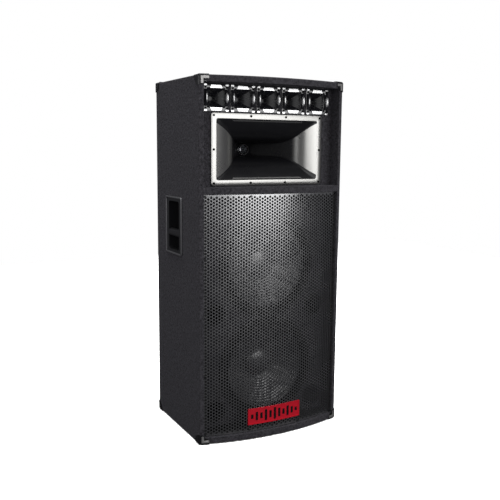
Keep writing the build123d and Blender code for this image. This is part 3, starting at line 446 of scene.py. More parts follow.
def make_piece(name, points, faces, material_names, body, face_materials=None, sharp=40.0):
    """A piece whose faces all turn outwards, riding on a body if it has one."""
    mesh = new_mesh(name, points, faces, material_names, face_materials)
    welded = bmesh.new()
    welded.from_mesh(mesh)
    bmesh.ops.remove_doubles(welded, verts=welded.verts, dist=WELD)
    bmesh.ops.recalc_face_normals(welded, faces=welded.faces)
    welded.to_mesh(mesh)
    welded.free()
    return new_object(mesh, body, sharp)


def grid_faces(rows, columns, wrap_rows, wrap_columns):
    """Four-sided faces over points laid out row by row."""
    faces = []
    for i in range(rows if wrap_rows else rows - 1):
        for j in range(columns if wrap_columns else columns - 1):
            i2, j2 = (i + 1) % rows, (j + 1) % columns
            faces.append((i * columns + j, i * columns + j2, i2 * columns + j2, i2 * columns + j))
    return faces


def lathe(profile, centre, segments):
    """Points and faces of a closed (radius, depth) profile turned about Y."""
    points = []
    for radius, depth in profile:
        for k in range(segments):
            angle = 2 * math.pi * k / segments
            points.append((
                centre.x + radius * math.cos(angle), centre.y + depth, centre.z + radius * math.sin(angle)))
    return points, grid_faces(len(profile), segments, True, True)


def round_rectangle(half_width, half_height, corner, per_side=16, per_corner=8):
    """Points round a rounded rectangle, each with the side it belongs to."""
    arcs = []
    for sx, sz, start in ((1, 1, 0), (-1, 1, 90), (-1, -1, 180), (1, -1, 270)):
        cx, cz = sx * (half_width - corner), sz * (half_height - corner)
        angles = [math.radians(start + 90 * k / per_corner) for k in range(per_corner + 1)]
        arcs.append([(cx + corner * math.cos(a), cz + corner * math.sin(a)) for a in angles])
    points = []
    for index, side in enumerate(("top", "left", "bottom", "right")):
        points += [(x, z, "corner") for x, z in arcs[index]]
        x, z = arcs[index][-1]
        end_x, end_z = arcs[(index + 1) % 4][0]
        for k in range(1, per_side):
            share = k / per_side
            points.append((x + (end_x - x) * share, z + (end_z - z) * share, side))
    return points


def joined(shapes):
    """Several (points, faces) shapes as one."""
    points, faces = [], []
    for shape_points, shape_faces in shapes:
        start = len(points)
        points += shape_points
        faces += [tuple(k + start for k in face) for face in shape_faces]
    return points, faces


def doubled(front, thickness):
    """A closed (radius, depth) profile: the front line, and the same line further back."""
    back = [(radius, depth + thickness) for radius, depth in front]
    return front + back[::-1]


# ---- Grille --------------------------------
def grille_curve():
    """Radius and centre of the grille's bend, from its box."""
    half_width = GRILLE_HIGH.x
    sagitta = grille_side_y() - GRILLE_LOW.y
    radius = (half_width ** 2 + sagitta ** 2) / (2 * sagitta)
    return radius, GRILLE_LOW.y + radius


def grille_side_y():
    """Front of the grille at its side edge: the foremost point there."""
    edge = GRILLE_HIGH.x - 0.0005
    return min(v.co.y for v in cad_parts["grille"].data.vertices if v.co.x > edge)


HOLE_PITCH = 0.0112
HOLE_RADIUS = 0.39 * HOLE_PITCH
HOLE_SIDES = 12
HOLE_ARCS = (0, 2, 3, 4, 6, 8, 9, 10, 12)  # where a hole is cut to meet the eight edges of its cell
GRILLE_THICK = 0.0014
GRILLE_MARGIN = 0.002
SAME_POINT = 2e-6  # corners nearer than this are one point


def make_grille():
    """Curved perforated sheet: every hole is a real one, in staggered columns."""
    radius, centre_y = grille_curve()
    column_step = HOLE_PITCH * math.sqrt(3) / 2
    half_width = radius * math.asin(GRILLE_HIGH.x / radius)
    low, high = GRILLE_LOW.z, GRILLE_HIGH.z
    columns = int((2 * half_width - 2 * GRILLE_MARGIN) / column_step)
    rows = int((high - low - 2 * GRILLE_MARGIN) / HOLE_PITCH)
    left = -columns * column_step / 2
    bottom = (low + high) / 2 - rows * HOLE_PITCH / 2
    flat, faces = [], []

    def add(points):
        start = len(flat)
        flat.extend(points)
        return list(range(start, start + len(points)))

    def cell(x0, z0):
        """One rectangle with a round hole: a ring of faces between its edge and the hole."""
        cx, cz = x0 + column_step / 2, z0 + HOLE_PITCH / 2
        hx, hz = column_step / 2, HOLE_PITCH / 2
        angles = [2 * math.pi * k / HOLE_SIDES for k in range(HOLE_SIDES)]
        rim = [(cx + HOLE_RADIUS * math.cos(a), cz + HOLE_RADIUS * math.sin(a)) for a in angles]
        outer = [(cx + hx, cz), (cx + hx, cz + hz), (cx, cz + hz), (cx - hx, cz + hz),
                 (cx - hx, cz), (cx - hx, cz - hz), (cx, cz - hz), (cx + hx, cz - hz)]
        inner = add(rim)
        edge = add(outer)
        for k, (start, end) in enumerate(zip(HOLE_ARCS, HOLE_ARCS[1:])):
            arc = [inner[n % HOLE_SIDES] for n in range(end, start - 1, -1)]
            faces.append((edge[k], edge[(k + 1) % len(edge)], *arc))

    def blank(x0, x1, z0, z1):
        faces.append(tuple(add([(x0, z0), (x1, z0), (x1, z1), (x0, z1)])))

    for i in range(columns):
        x0 = left + i * column_step
        shift = HOLE_PITCH / 2 if i % 2 else 0.0
        for j in range(rows - (i % 2)):
            cell(x0, bottom + shift + j * HOLE_PITCH)
        mid = x0 + column_step / 2
        for a, b in ((x0, mid), (mid, x0 + column_step)):
            if i % 2:
                blank(a, b, bottom, bottom + shift)
                blank(a, b, bottom + rows * HOLE_PITCH - shift, bottom + rows * HOLE_PITCH)
            blank(a, b, low, bottom)
            blank(a, b, bottom + rows * HOLE_PITCH, high)
    right = left + columns * column_step
    levels = [low] + [bottom + k * HOLE_PITCH / 2 for k in range(2 * rows + 1)] + [high]
    for z0, z1 in zip(levels, levels[1:]):
        blank(-half_width, left, z0, z1)
        blank(right, half_width, z0, z1)

    flat = np.array(flat)
    keys = np.round(flat / SAME_POINT).astype(np.int64)
    _, first, inverse = np.unique(keys, axis=0, return_index=True, return_inverse=True)
    flat = flat[first]
    inverse = inverse.reshape(-1)
    faces = [tuple(int(inverse[k]) for k in face) for face in faces]

    def bend(depth):
        reach = radius - depth
        angle = flat[:, 0] / radius
        return np.stack([reach * np.sin(angle), centre_y - reach * np.cos(angle), flat[:, 1]], axis=1)

    count = len(flat)
    points = np.concatenate([bend(0.0), bend(GRILLE_THICK)])
    edges = dict.fromkeys((a, b) for face in faces for a, b in zip(face, face[1:] + face[:1]))
    walls = [(b, a, a + count, b + count) for a, b in edges if (b, a) not in edges]
    back = [tuple(k + count for k in reversed(face)) for face in faces]
    indices = [0] * len(faces) + [1] * (len(back) + len(walls))
    mesh = new_mesh(
        "grille_sheet", points.tolist(), faces + back + walls, ["grille_steel", "grille_inside"], indices)
    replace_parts(new_object(mesh, CABINET, 30), "grille")


# ---- Bass drivers --------------------------
DRIVER_SEGMENTS = 128
EDGE_DEPTH = -0.0042  # the cone's edge stands this far in front of the baffle

CONE_LIP_R = 0.153
CONE_EDGE_R = 0.149
CONE_NECK_R = 0.0388
CONE_NECK_DEPTH = 0.064
CONE_STEPS = 90
CONE_THICK = 0.0013
CONE_RIBS = (0.066, 0.142)  # radii between which the cone is ribbed
CONE_RIB_PITCH = 0.0085
CONE_RIB_RISE = 0.0011

CAP_R = 0.052
CAP_HEIGHT = 0.017
CAP_STEPS = 24
CAP_SEAT_R = 0.0545  # its rim is glued down out to here

SURROUND_OUTER_R = 0.1719
SURROUND_SEAT_R = 0.166
SURROUND_INNER_R = 0.1492
SURROUND_HEIGHT = 0.0052
SURROUND_FOLDS = 3
SURROUND_STEPS = 48
SURROUND_THICK = 0.0009

SPIDER_SEAT_R = 0.088
SPIDER_INNER_R = 0.0391
SPIDER_COLLAR = 0.003
SPIDER_SINK = 0.001
SPIDER_HEIGHT = 0.003
SPIDER_FOLDS = 7
SPIDER_STEPS = 84
SPIDER_THICK = 0.0008


def woofer_centre(which):
    return baffle_centre(f"woofer_{which}_basket")


def cone_depth(radius):
    """Depth of the cone's front, with pressed ribs over its outer part."""
    share = min(1.0, max(0.0, (CONE_EDGE_R - radius) / (CONE_EDGE_R - CONE_NECK_R)))
    depth = EDGE_DEPTH + (CONE_NECK_DEPTH - EDGE_DEPTH) * share ** 0.92
    if CONE_RIBS[0] < radius < CONE_RIBS[1]:
        wave = 0.5 + 0.5 * math.cos(2 * math.pi * (radius - CONE_RIBS[0]) / CONE_RIB_PITCH)
        depth -= CONE_RIB_RISE * wave ** 2
    return depth


def make_cone(which):
    radii = np.linspace(CONE_EDGE_R, CONE_NECK_R, CONE_STEPS)
    lip = [(CONE_LIP_R, EDGE_DEPTH), (0.151, EDGE_DEPTH - 0.0001)]
    front = lip + [(r, cone_depth(r)) for r in radii]
    centre = woofer_centre(which)
    points, faces = lathe(doubled(front, CONE_THICK), centre, DRIVER_SEGMENTS)
    piece = make_piece(
        f"cone_{which}", points, faces, ["paper_cone"], f"woofer_{which}_moving")
    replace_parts(piece, f"woofer_{which}_cone")


def make_dust_cap(which):
    rim = cone_depth(CAP_R)
    front = []
    for k in range(CAP_STEPS + 1):
        angle = math.radians(90 * k / CAP_STEPS)
        front.append((CAP_R * math.sin(angle) ** 0.9, rim - CAP_HEIGHT * math.cos(angle)))
    front.append((CAP_SEAT_R, cone_depth(CAP_SEAT_R) - 0.0003))
    back = [(radius * 0.985, depth + 0.001) for radius, depth in front]
    centre = woofer_centre(which)
    points, faces = lathe(front + back[::-1], centre, 96)
    piece = make_piece(
        f"dust_cap_{which}", points, faces, ["paper_cone"], f"woofer_{which}_moving")
    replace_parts(piece, f"woofer_{which}_dust_cap")


def make_stretching_ring(name, which, node, profile, material):
    """A ring held by the basket at its outside and by the cone at its inside; it rides on no body."""
    centre = woofer_centre(which)
    points, faces = lathe(profile, centre, DRIVER_SEGMENTS)
    piece = make_piece(name, points, faces, [material], None)
    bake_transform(piece)
    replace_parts(piece, node)


def pleats(outer, inner, base, height, folds, steps):
    """(radius, depth) points over pleats that stand forward from the base."""
    line = []
    for k in range(steps + 1):
        share = k / steps
        rise = height * math.sin(math.pi * folds * share) ** 2
        line.append((outer + (inner - outer) * share, base - rise))
    return line


def make_surround(which):
    """Pleated cloth edge, glued down outside and inside its folds."""
    folds = pleats(
        SURROUND_SEAT_R, CONE_LIP_R, EDGE_DEPTH, SURROUND_HEIGHT, SURROUND_FOLDS, SURROUND_STEPS)
    front = [(SURROUND_OUTER_R, EDGE_DEPTH)] + folds + [(SURROUND_INNER_R, EDGE_DEPTH - 0.0001)]
    make_stretching_ring(
        f"surround_{which}", which, f"woofer_{which}_surround", doubled(front, SURROUND_THICK),
        "surround_cloth")


def make_spider(which):
    """Corrugated centring disc."""
    low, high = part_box(f"woofer_{which}_spider")
    base = high.y - BAFFLE_Y - SPIDER_SINK
    moving_r = SPIDER_INNER_R + SPIDER_COLLAR
    folds = pleats(SPIDER_SEAT_R, moving_r, base, SPIDER_HEIGHT, SPIDER_FOLDS, SPIDER_STEPS)
    front = [((high.x - low.x) / 2, base)] + folds + [(SPIDER_INNER_R, base)]
    make_stretching_ring(
        f"spider_{which}", which, f"woofer_{which}_spider", doubled(front, SPIDER_THICK),
        "spider_cloth")


# ---- Horns ---------------------------------
@dataclass
class Horn:
    """A rectangular horn moulding. Widths and heights are halves, measured from its axis.

    Each bell, for width and for height, is the share of the opening that comes as a late flare,
    and the power of that flare; the rest opens in a straight line."""
    mouth: tuple
    throat: float
    slot: float  # height that the passage reaches soon after the throat
    depth: float
    wall: float
    flange: tuple
    corner: float
    rim: float  # how far the flange stands in front of the baffle
    lip: float  # radius between mouth and flange
    bells: tuple
    steps: int


FLANGE_EDGE = 0.0012  # rounding of a flange's outer edge
SKIN_GAP = 0.0002  # between the flange's back and the bell's outer skin


def horn_rows(horn):
    """(half width, half height, corner, y, zone) from the throat out over lip and flange, then back."""
    rows = []
    mouth_w, mouth_h = horn.mouth
    front = horn.lip - horn.rim
    for k in range(horn.steps + 1):
        share = 1 - (k / horn.steps) ** 0.6
        out = 1 - share
        wide, tall = [(1 - bell) * out + bell * out ** power for bell, power in horn.bells]
        half_w = horn.throat + (mouth_w - horn.throat) * wide
        half_h = horn.throat + (horn.slot - horn.throat) * min(1.0, 8 * out)
        half_h += (mouth_h - horn.slot) * tall
        round_share = 0.07 + 0.9 * share ** 14
        y = front + (horn.depth - front) * share
        rows.append((half_w, half_h, min(half_w, half_h) * round_share, y, "inside"))
    for angle in (20, 45, 70, 90):
        a = math.radians(angle)
        grow = horn.lip * (1 - math.cos(a))
        corner = min(horn.mouth) * 0.07 + grow
        rows.append((mouth_w + grow, mouth_h + grow, corner, front - horn.lip * math.sin(a), "lip"))
    half_w, half_h = horn.flange
    for inset, y in (
            (FLANGE_EDGE, -horn.rim), (FLANGE_EDGE * 0.3, FLANGE_EDGE * 0.3 - horn.rim),
            (0.0, FLANGE_EDGE - horn.rim), (0.0, 0.0)):
        rows.append((half_w - inset, half_h - inset, horn.corner - inset, y, "face"))
    wall = horn.wall
    first = rows[horn.steps - 2]
    rows.append((first[0] + wall, first[1] + wall, first[2] + wall, SKIN_GAP, "outside"))
    for k in range(horn.steps - 2, -1, -2):
        half_w, half_h, corner, y, _ = rows[k]
        rows.append((half_w + wall, half_h + wall, corner + wall, max(y, 2 * SKIN_GAP), "outside"))
    return rows


def horn_mesh(name, centre, rows, materials, choose, node, per_side=24, per_corner=8):
    """Skins the rows, closing the last onto the first at the throat."""
    points, labels = [], []
    for half_w, half_h, corner, y, _ in rows:
        loop = round_rectangle(half_w, half_h, corner, per_side, per_corner)
        points += [(centre.x + x, centre.y + y, centre.z + z) for x, z, _ in loop]
        labels = [side for _, _, side in loop]
    columns = len(labels)
    faces = grid_faces(len(rows), columns, True, True)
    indices = []
    for face in faces:
        row, column = divmod(face[0], columns)
        spot = np.mean([points[k] for k in face], axis=0) - np.array(centre)
        indices.append(materials.index(choose(rows[row][4], labels[column], spot)))
    piece = make_piece(name, points, faces, materials, CABINET, indices, sharp=28)
    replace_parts(piece, node)


FLANGE_WIDTHS = (0.0195, 0.0190)  # at the sides, and at top and bottom
# The silver band on the dark top and bottom walls is a painted highlight.
PAINTED_HIGHLIGHT_LINE = (0.0017, 0.0032)  # how far behind the flange's front the bright line lies
PAINTED_HIGHLIGHT_LINE_SHARE = 0.68  # its length over the mouth's width
# Radius, and depth from the back of the horn.
THROAT_RING = ((0.0188, -0.012), (0.0188, -0.001), (0.0165, -0.001), (0.0165, -0.004), (0.0178, -0.012))


def make_mid_horn():
    """Silver horn; its top and bottom walls are dark apart from a thin silver line behind the lip, which is a
    painted highlight.
    """
    centre = baffle_centre("mid_horn")
    low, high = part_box("mid_horn")
    flange = (high.x - centre.x, high.z - centre.z)
    mouth = (flange[0] - FLANGE_WIDTHS[0], flange[1] - FLANGE_WIDTHS[1])
    depth = high.y - BAFFLE_Y
    rim = BAFFLE_Y - low.y
    horn = Horn(
        mouth=mouth, throat=0.019, slot=0.024, depth=depth, wall=0.003, flange=flange, corner=0.010,
        rim=rim, lip=0.0003, bells=((0.31, 14.0), (1.0, 6.5)), steps=72)

    def choose(zone, side, spot):
        if zone != "inside" or side in ("left", "right"):
            return "silver_horn"
        # Silver faces in this thin band form the painted highlight line.
        in_line = PAINTED_HIGHLIGHT_LINE[0] < spot[1] + rim < PAINTED_HIGHLIGHT_LINE[1]
        in_reach = abs(spot[0]) < PAINTED_HIGHLIGHT_LINE_SHARE * mouth[0]
        return "silver_horn" if in_line and in_reach else "horn_black"

    horn_mesh(
        "horn_shell", centre, horn_rows(horn), ["silver_horn", "horn_black"], choose,
        "mid_horn")
    points, faces = lathe([(radius, depth + back) for radius, back in THROAT_RING], centre, 48)
    make_piece("horn_throat_ring", points, faces, ["basket_steel"], CABINET)


# ---- Tweeters ------------------------------
TWEETER_MOUTH = (0.033, 0.032)
TRIM_BAR_HEIGHT = 0.0105
TRIM_BAR_HALVES = (0.0185, 0.0235)  # half lengths at the plate's edge and at the mouth
PAD_HALF_SIZE = (0.0062, 0.0034)
PAD_INSET = (0.007, 0.005)  # of a pad's centre from the plate's edges
CHEEK_HALF_HEIGHT = 0.029
CHEEK_RISE = 0.0135
# The chrome patch on each cheek's crest is a painted highlight on gloss black.
PAINTED_HIGHLIGHT_X = 0.0366  # from the tweeter's axis to the bright crest's centre
PAINTED_HIGHLIGHT_HALF_SIZE = (0.0042, 0.0172)


def make_tweeter(index):
    """Gloss black horn moulding with bright bars, pads and cheeks round its mouth; a chrome patch on each
    cheek's crest is a painted highlight.
    """
    node = f"tweeter_{index}"
    centre = baffle_centre(node)
    low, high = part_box(node)
    half = high.x - centre.x
    rim = BAFFLE_Y - low.y
    horn = Horn(
        mouth=TWEETER_MOUTH, throat=0.007, slot=0.007, depth=high.y - BAFFLE_Y, wall=0.002,
        flange=(half, half), corner=0.005, rim=rim, lip=0.002, bells=((1.0, 1.25), (1.0, 1.25)), steps=20)
    horn_mesh(
        f"tweeter_horn_{index}", centre, horn_rows(horn), ["tweeter_gloss"], lambda *_: "tweeter_gloss",
        node, per_side=10, per_corner=5)
    front = centre.y - rim
    trim = []
    for side in (-1, 1):
        trim.append(bar_shape(centre, front, side))
        for across in (-1, 1):
            trim.append(pad_shape(centre, front, across, side, half))
    points, faces = joined(trim)
    make_piece(f"tweeter_trim_{index}", points, faces, ["chrome_trim"], CABINET, sharp=30)
    cheeks = [cheek_shape(centre, front, side, half) for side in (-1, 1)]
    points, faces = joined([shape for shape, _ in cheeks])
    crest = [mark for _, marks in cheeks for mark in marks]
    # Chrome faces on the cheeks' crests: painted highlights.
    make_piece(
        f"tweeter_cheeks_{index}", points, faces, ["tweeter_gloss", "chrome_trim"], CABINET,
        crest, sharp=50)


def slab(outline, front, thick, bevel=0.0006):
    """A flat plate with bevelled front edges; the outline is (x, z) points."""
    cx = sum(x for x, _ in outline) / len(outline)
    cz = sum(z for _, z in outline) / len(outline)
    count = len(outline)

    def shrunk(amount):
        result = []
        for x, z in outline:
            away = math.hypot(x - cx, z - cz)
            share = (away - amount) / away
            result.append((cx + (x - cx) * share, cz + (z - cz) * share))
        return result

    rings = [
        [(x, front + thick, z) for x, z in outline],
        [(x, front + bevel, z) for x, z in outline],
        [(x, front, z) for x, z in shrunk(bevel)],
    ]
    points = [p for ring in rings for p in ring]
    faces = grid_faces(3, count, False, True)
    faces.append(tuple(range(2 * count, 3 * count)))
    faces.append(tuple(reversed(range(count))))
    return points, faces


def bar_shape(centre, front, side):
    """Bright strip along the top or bottom of the plate, wider towards the mouth."""
    inner = TWEETER_MOUTH[1]
    outer = inner + TRIM_BAR_HEIGHT
    short, long = TRIM_BAR_HALVES
    outline = [(-short, side * outer), (short, side * outer), (long, side * inner), (-long, side * inner)]
    outline = [(centre.x + x, centre.z + z) for x, z in outline]
    if side < 0:
        outline.reverse()
    return slab(outline, front - 0.0014, 0.0045)


def pad_shape(centre, front, across, side, half):
    """Small bright pad outside each corner screw."""
    cx = centre.x + across * (half - PAD_INSET[0])
    cz = centre.z + side * (half - PAD_INSET[1])
    outline = []
    for k in range(24):
        a = 2 * math.pi * k / 24
        x = math.copysign(abs(math.cos(a)) ** 0.6, math.cos(a))
        z = math.copysign(abs(math.sin(a)) ** 0.6, math.sin(a))
        outline.append((cx + PAD_HALF_SIZE[0] * x, cz + PAD_HALF_SIZE[1] * z))
    return slab(outline, front - 0.0022, 0.003)


def cheek_shape(centre, front, side, half):
    """Cheek beside the mouth, highest half way up, and each face's material: 1 on its crest, where chrome
    trim is a painted highlight.
    """
    rows, columns = 49, 25
    inner, outer = TWEETER_MOUTH[0] - 0.0005, half - 0.0012
    points, from_crest = [], []
    for i in range(rows):
        up = -1 + 2 * i / (rows - 1)
        swell = (1 - up * up) ** 0.62
        for j in range(columns):
            angle = math.pi * j / (columns - 1)
            away = inner + (outer - inner) * (1 - math.cos(angle)) / 2
            lift = CHEEK_RISE * swell * math.sin(angle) ** 0.85
            height = up * CHEEK_HALF_HEIGHT
            points.append((centre.x + side * away, front + 0.0008 - lift, centre.z + height))
            from_crest.append(((away - PAINTED_HIGHLIGHT_X) / PAINTED_HIGHLIGHT_HALF_SIZE[0], height / PAINTED_HIGHLIGHT_HALF_SIZE[1]))
    faces = grid_faces(rows, columns, False, False)
    marks = []
    for face in faces:
        across, up = np.mean([from_crest[k] for k in face], axis=0)
        marks.append(1 if math.hypot(across, up) < 1 else 0)
    back = len(points)
    points += [(x, front + 0.002, z) for x, _, z in points]
    border = boundary(rows, columns)
    for a, b in zip(border, border[1:] + border[:1]):
        faces.append((a, b, b + back, a + back))
    for a, b, c, d in grid_faces(rows, columns, False, False):
        faces.append((d + back, c + back, b + back, a + back))
    marks += [0] * (len(faces) - len(marks))
    return (points, faces), marks


def boundary(rows, columns):
    """Indices round the edge of a grid."""
    edge = list(range(columns))
    edge += [i * columns + columns - 1 for i in range(1, rows)]
    edge += [(rows - 1) * columns + j for j in range(columns - 2, -1, -1)]
    edge += [i * columns for i in range(rows - 2, 0, -1)]
    return edge


# ---- Badge ---------------------------------
BADGE_RIM = 0.003
BADGE_BORDER = 0.016  # from the badge's ends to its first and last bar
LEVEL_HALF_WIDTH = 0.0042
LEVELS = (0.35, 0.7, 0.5, 0.95, 0.6, 1.0, 0.75, 0.45, 0.85, 0.55, 0.3)
PLATE_SPAN = (0.0001, 0.0022)  # back and front, as heights over the grille
RIM_SPAN = (0.0021, 0.0034)
LEVEL_SPAN = (0.0021, 0.0036)


def bent_block(x_range, z_range, span, steps):
    """A block bent about the grille's centre line; the span is its back and front over the grille."""
    radius, centre_y = grille_curve()
    back, front = span
    points = []
    for k in range(steps + 1):
        angle = (x_range[0] + (x_range[1] - x_range[0]) * k / steps) / radius
        for out, z in ((back, z_range[0]), (front, z_range[0]), (front, z_range[1]), (back, z_range[1])):
            reach = radius + out
            points.append((reach * math.sin(angle), centre_y - reach * math.cos(angle), z))
    faces = grid_faces(steps + 1, 4, False, True)
    faces.append((0, 1, 2, 3))
    last = 4 * steps
    faces.append((last + 3, last + 2, last + 1, last))
    return points, faces


def make_badge():
    """Generic badge: a red plate bent to the grille with a rim and plain black level bars."""
    low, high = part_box("badge")
    half = high.x
    parts = [bent_block((-half, half), (low.z, high.z), PLATE_SPAN, 28)]
    for z in (low.z, high.z - BADGE_RIM):
        parts.append(bent_block((-half, half), (z, z + BADGE_RIM), RIM_SPAN, 28))
    for x in (-half, half - BADGE_RIM):
        parts.append(bent_block((x, x + BADGE_RIM), (low.z, high.z), RIM_SPAN, 2))
    points, faces = joined(parts)
    piece = make_piece("badge_plate", points, faces, ["badge_red"], CABINET)
    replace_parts(piece, "badge")
    bars = []
    middle_z = (low.z + high.z) / 2
    tallest = (high.z - low.z) / 2 - 0.008
    step = 2 * (half - BADGE_BORDER) / (len(LEVELS) - 1)
    for k, level in enumerate(LEVELS):
        x = -half + BADGE_BORDER + k * step
        z_range = (middle_z - tallest * level, middle_z + tallest * level)
        bars.append(bent_block((x - LEVEL_HALF_WIDTH, x + LEVEL_HALF_WIDTH), z_range, LEVEL_SPAN, 2))
    points, faces = joined(bars)
    make_piece("badge_bars", points, faces, ["badge_black"], CABINET)


# ---- Corner protectors ---------------------
BOW_RISE = 0.045  # how far the front bows out between its corners
RIB_WIDTH, RIB_HEIGHT = 0.0085, 0.0014
RIB_INSET = 0.0125  # from the protector's edges to the rib's centre line
RIB_LEG_DOWN = 0.032
RIB_LEG_ACROSS = 0.034
RIB_LEAN_RADIUS = 0.92  # the front ribs stand out as on a bow of this radius


def protector_front_y(x):
    """Front face of the protectors, which follow the bowed front."""
    radius = (HIGH.x ** 2 + BOW_RISE ** 2) / (2 * BOW_RISE)
    proud = LOW.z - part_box("corner_protectors")[0].z
    return LOW.y + radius - math.sqrt((radius + proud) ** 2 - x ** 2)


def rib_shape(path, normals):
    """A flat-topped bead along a path, standing out along the normals, mitred at its bend."""
    points = []
    half_section = ((0.5, -0.0005), (0.5, 0.0006), (0.42, RIB_HEIGHT))
    section = [(-share, out) for share, out in half_section] + list(reversed(half_section))
    for k, (point, normal) in enumerate(zip(path, normals)):
        ahead = (path[min(k + 1, len(path) - 1)] - point).normalized()
        behind = (point - path[max(k - 1, 0)]).normalized()
        along = (ahead + behind).normalized()
        across = along.cross(normal).normalized()
        mitre = 1.0 / along.dot(ahead if ahead.length > 0 else behind)
        for share, out in section:
            points.append(tuple(point + across * (share * RIB_WIDTH * mitre) + normal * out))
    count = len(section)
    faces = grid_faces(len(path), count, False, True)
    faces.append(tuple(range(count)))
    faces.append(tuple(range(len(points) - 1, len(points) - count - 1, -1)))
    return points, faces


def corner_rib(sx, up, front):
    """One angle rib: down from the corner and across, on the front or on the back."""
    low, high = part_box("corner_protectors")
    edge_z = high.z if up > 0 else low.z
    path, normals = [], []
    for across, down in ((RIB_INSET, RIB_LEG_DOWN), (RIB_INSET, RIB_INSET), (RIB_LEG_ACROSS, RIB_INSET)):
        x = sx * (high.x - across)
        y = protector_front_y(x) if front else high.y
        path.append(Vector((x, y, edge_z - up * down)))
        outward = (x / RIB_LEAN_RADIUS, -1.0, 0.0) if front else (0.0, 1.0, 0.0)
        normals.append(Vector(outward).normalized())
    return rib_shape(path, normals)


def make_corner_ribs():
    """Pressed angle ribs on the front and back of the protectors, in bright steel as a painted highlight."""
    shapes = [
        corner_rib(sx, up, front) for sx in (-1, 1) for up in (-1, 1) for front in (True, False)]
    points, faces = joined(shapes)
    make_piece("corner_ribs", points, faces, ["rib_painted_highlight"], CABINET)


# ---- Handles -------------------------------
BEAD = (  # distance in from the frame's edge, and height
    (0.0004, -0.0004), (0.0006, 0.0012), (0.0016, 0.0024), (0.0030, 0.0030),
    (0.0046, 0.0030), (0.0060, 0.0024), (0.0070, 0.0012), (0.0072, -0.0004))
HANDLE_CORNER = 0.010


def make_handle_bead(side, node):
    """Raised glossy bead round a handle's frame, in light grey metal as a painted highlight."""
    low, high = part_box(node)
    face_x = low.x if side < 0 else high.x
    middle_y, middle_z = (low.y + high.y) / 2, (low.z + high.z) / 2
    half_y, half_z = (high.y - low.y) / 2, (high.z - low.z) / 2
    points = []
    for inset, height in BEAD:
        loop = round_rectangle(half_y - inset, half_z - inset, HANDLE_CORNER - inset)
        points += [(face_x + side * height, middle_y + y, middle_z + z) for y, z, _ in loop]
    faces = grid_faces(len(BEAD), len(points) // len(BEAD), True, True)
    make_piece(f"{node}_bead", points, faces, ["bead_painted_highlight"], CABINET)


# ---- Surroundings --------------------------
def floor_material():
    """Matt pale floor that throws little light back up at the cabinet."""
    m = Shader("floor", (0.85, 0.85, 0.85), 0.9)
    m.bsdf.inputs["Specular IOR Level"].default_value = 0.0
    dark = m.node("ShaderNodeBsdfDiffuse", {"Color": (0.012, 0.012, 0.013, 1)})
    seen = m.node("ShaderNodeLightPath").outputs["Is Camera Ray"]
    mix = m.node("ShaderNodeMixShader", {"Fac": seen, 1: dark.outputs["BSDF"], 2: m.bsdf.outputs["BSDF"]})
    m.tree.links.new(mix.outputs["Shader"], m.tree.nodes["Material Output"].inputs["Surface"])
    return m.material


def make_floor():
    bpy.ops.mesh.primitive_plane_add(size=8, location=(0, 0, 0))
    plane = bpy.context.object
    plane.name = "floor"
    plane.data.materials.append(floor_material())
    return plane


def make_world():
    """A white background for the camera, dim for everything else."""
    world = bpy.data.worlds.new("studio")
    bpy.context.scene.world = world
    world.use_nodes = True
    nodes, links = world.node_tree.nodes, world.node_tree.links
    background = nodes["Background"]
    background.inputs["Color"].default_value = (1.0, 1.0, 1.0, 1)
    background.inputs["Strength"].default_value = 1.0
    dim = nodes.new("ShaderNodeBackground")
    dim.inputs["Color"].default_value = (0.92, 0.93, 1.0, 1)
    dim.inputs["Strength"].default_value = 0.09
    path = nodes.new("ShaderNodeLightPath")
    mix = nodes.new("ShaderNodeMixShader")
    links.new(path.outputs["Is Camera Ray"], mix.inputs["Fac"])
    links.new(dim.outputs["Background"], mix.inputs[1])
    links.new(background.outputs["Background"], mix.inputs[2])
    links.new(mix.outputs["Shader"], nodes["World Output"].inputs["Surface"])


# Each light's place, what it points at, its width and height, and how bright its face is.
FLOOR_LIGHT = ((0, 0, 5.0), (0, 0, 0), (9, 9), 7.0)
SOFTBOXES = {
    "top_softbox": ((0, 0.2, 4.0), (0, 0, 0), (3.0, 3.0), 2.4),
    "front_softbox": ((1.4, -3.8, 1.60), (0, -0.1, 1.45), (2.2, 2.5), 2.4),
    "near_left_softbox": ((-0.18, -3.9, 1.6), (0, 0, 1.0), (0.85, 1.8), 1.6),
    "side_softbox": ((-3.1, -2.6, 1.5), (0, 0, 0.9), (1.0, 1.8), 2.2),
    "left_softbox": ((-3.6, 0.2, 1.6), (0, 0, 1.0), (1.4, 1.8), 1.4),
    "back_softbox": ((1.2, 4.4, 2.2), (0, 0, 0.8), (3.0, 2.4), 1.6),
}


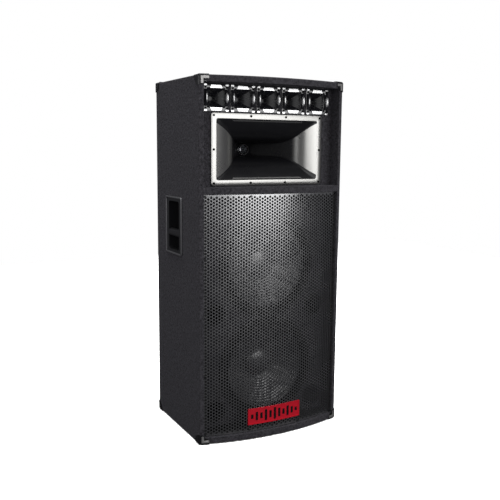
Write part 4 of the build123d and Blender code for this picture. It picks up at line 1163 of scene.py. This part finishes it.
def softbox(name, position, target, size, radiance):
    """A rectangular light, its power worked out from how bright its face should be."""
    data = bpy.data.lights.new(name, "AREA")
    data.shape = "RECTANGLE"
    data.size, data.size_y = size
    data.energy = radiance * math.pi * size[0] * size[1]
    light = bpy.data.objects.new(name, data)
    light.location = position
    aim = Vector(target) - Vector(position)
    light.rotation_euler = aim.to_track_quat("-Z", "Y").to_euler()
    bpy.context.scene.collection.objects.link(light)
    return light


def make_lights(stage_floor):
    """Soft boxes over, before, beside and behind the cabinet, and one for the floor alone."""
    floor_only = bpy.data.collections.new("floor_only")
    floor_only.objects.link(stage_floor)
    floor_light = softbox("floor_light", *FLOOR_LIGHT)
    floor_light.light_linking.receiver_collection = floor_only
    for name, settings in SOFTBOXES.items():
        softbox(name, *settings)


CAMERA_PLACE = (-1.2236, -2.2999, 1.0297)
CAMERA_YAW, CAMERA_PITCH, CAMERA_ROLL = 28.08, 8.29, 0.47
CAMERA_LENS = 50.24


def make_camera():
    """Eye level with the horn, to the cabinet's left, looking slightly down."""
    data = bpy.data.cameras.new("camera")
    data.lens = CAMERA_LENS
    data.sensor_width = 36.0
    camera = bpy.data.objects.new("camera", data)
    turn = Matrix.Rotation(-math.radians(CAMERA_YAW), 4, "Z")
    turn @= Matrix.Rotation(math.radians(90 - CAMERA_PITCH), 4, "X")
    turn @= Matrix.Rotation(math.radians(CAMERA_ROLL), 4, "Z")
    camera.matrix_world = Matrix.Translation(CAMERA_PLACE) @ turn
    bpy.context.scene.collection.objects.link(camera)
    bpy.context.scene.camera = camera
    bpy.context.scene.view_settings.view_transform = "Standard"


# ---- Everything ----------------------------
make_camera()
floor = make_floor()
make_world()
make_lights(floor)
paint_frame()
paint_crossover()
make_grille()
for which in WOOFERS:
    make_cone(which)
    make_dust_cap(which)
    make_surround(which)
    make_spider(which)
make_mid_horn()
for index in TWEETERS:
    make_tweeter(index)
make_badge()
make_corner_ribs()
make_handle_bead(-1, "handle_left")
make_handle_bead(1, "handle_right")

bpy.context.view_layer.update()
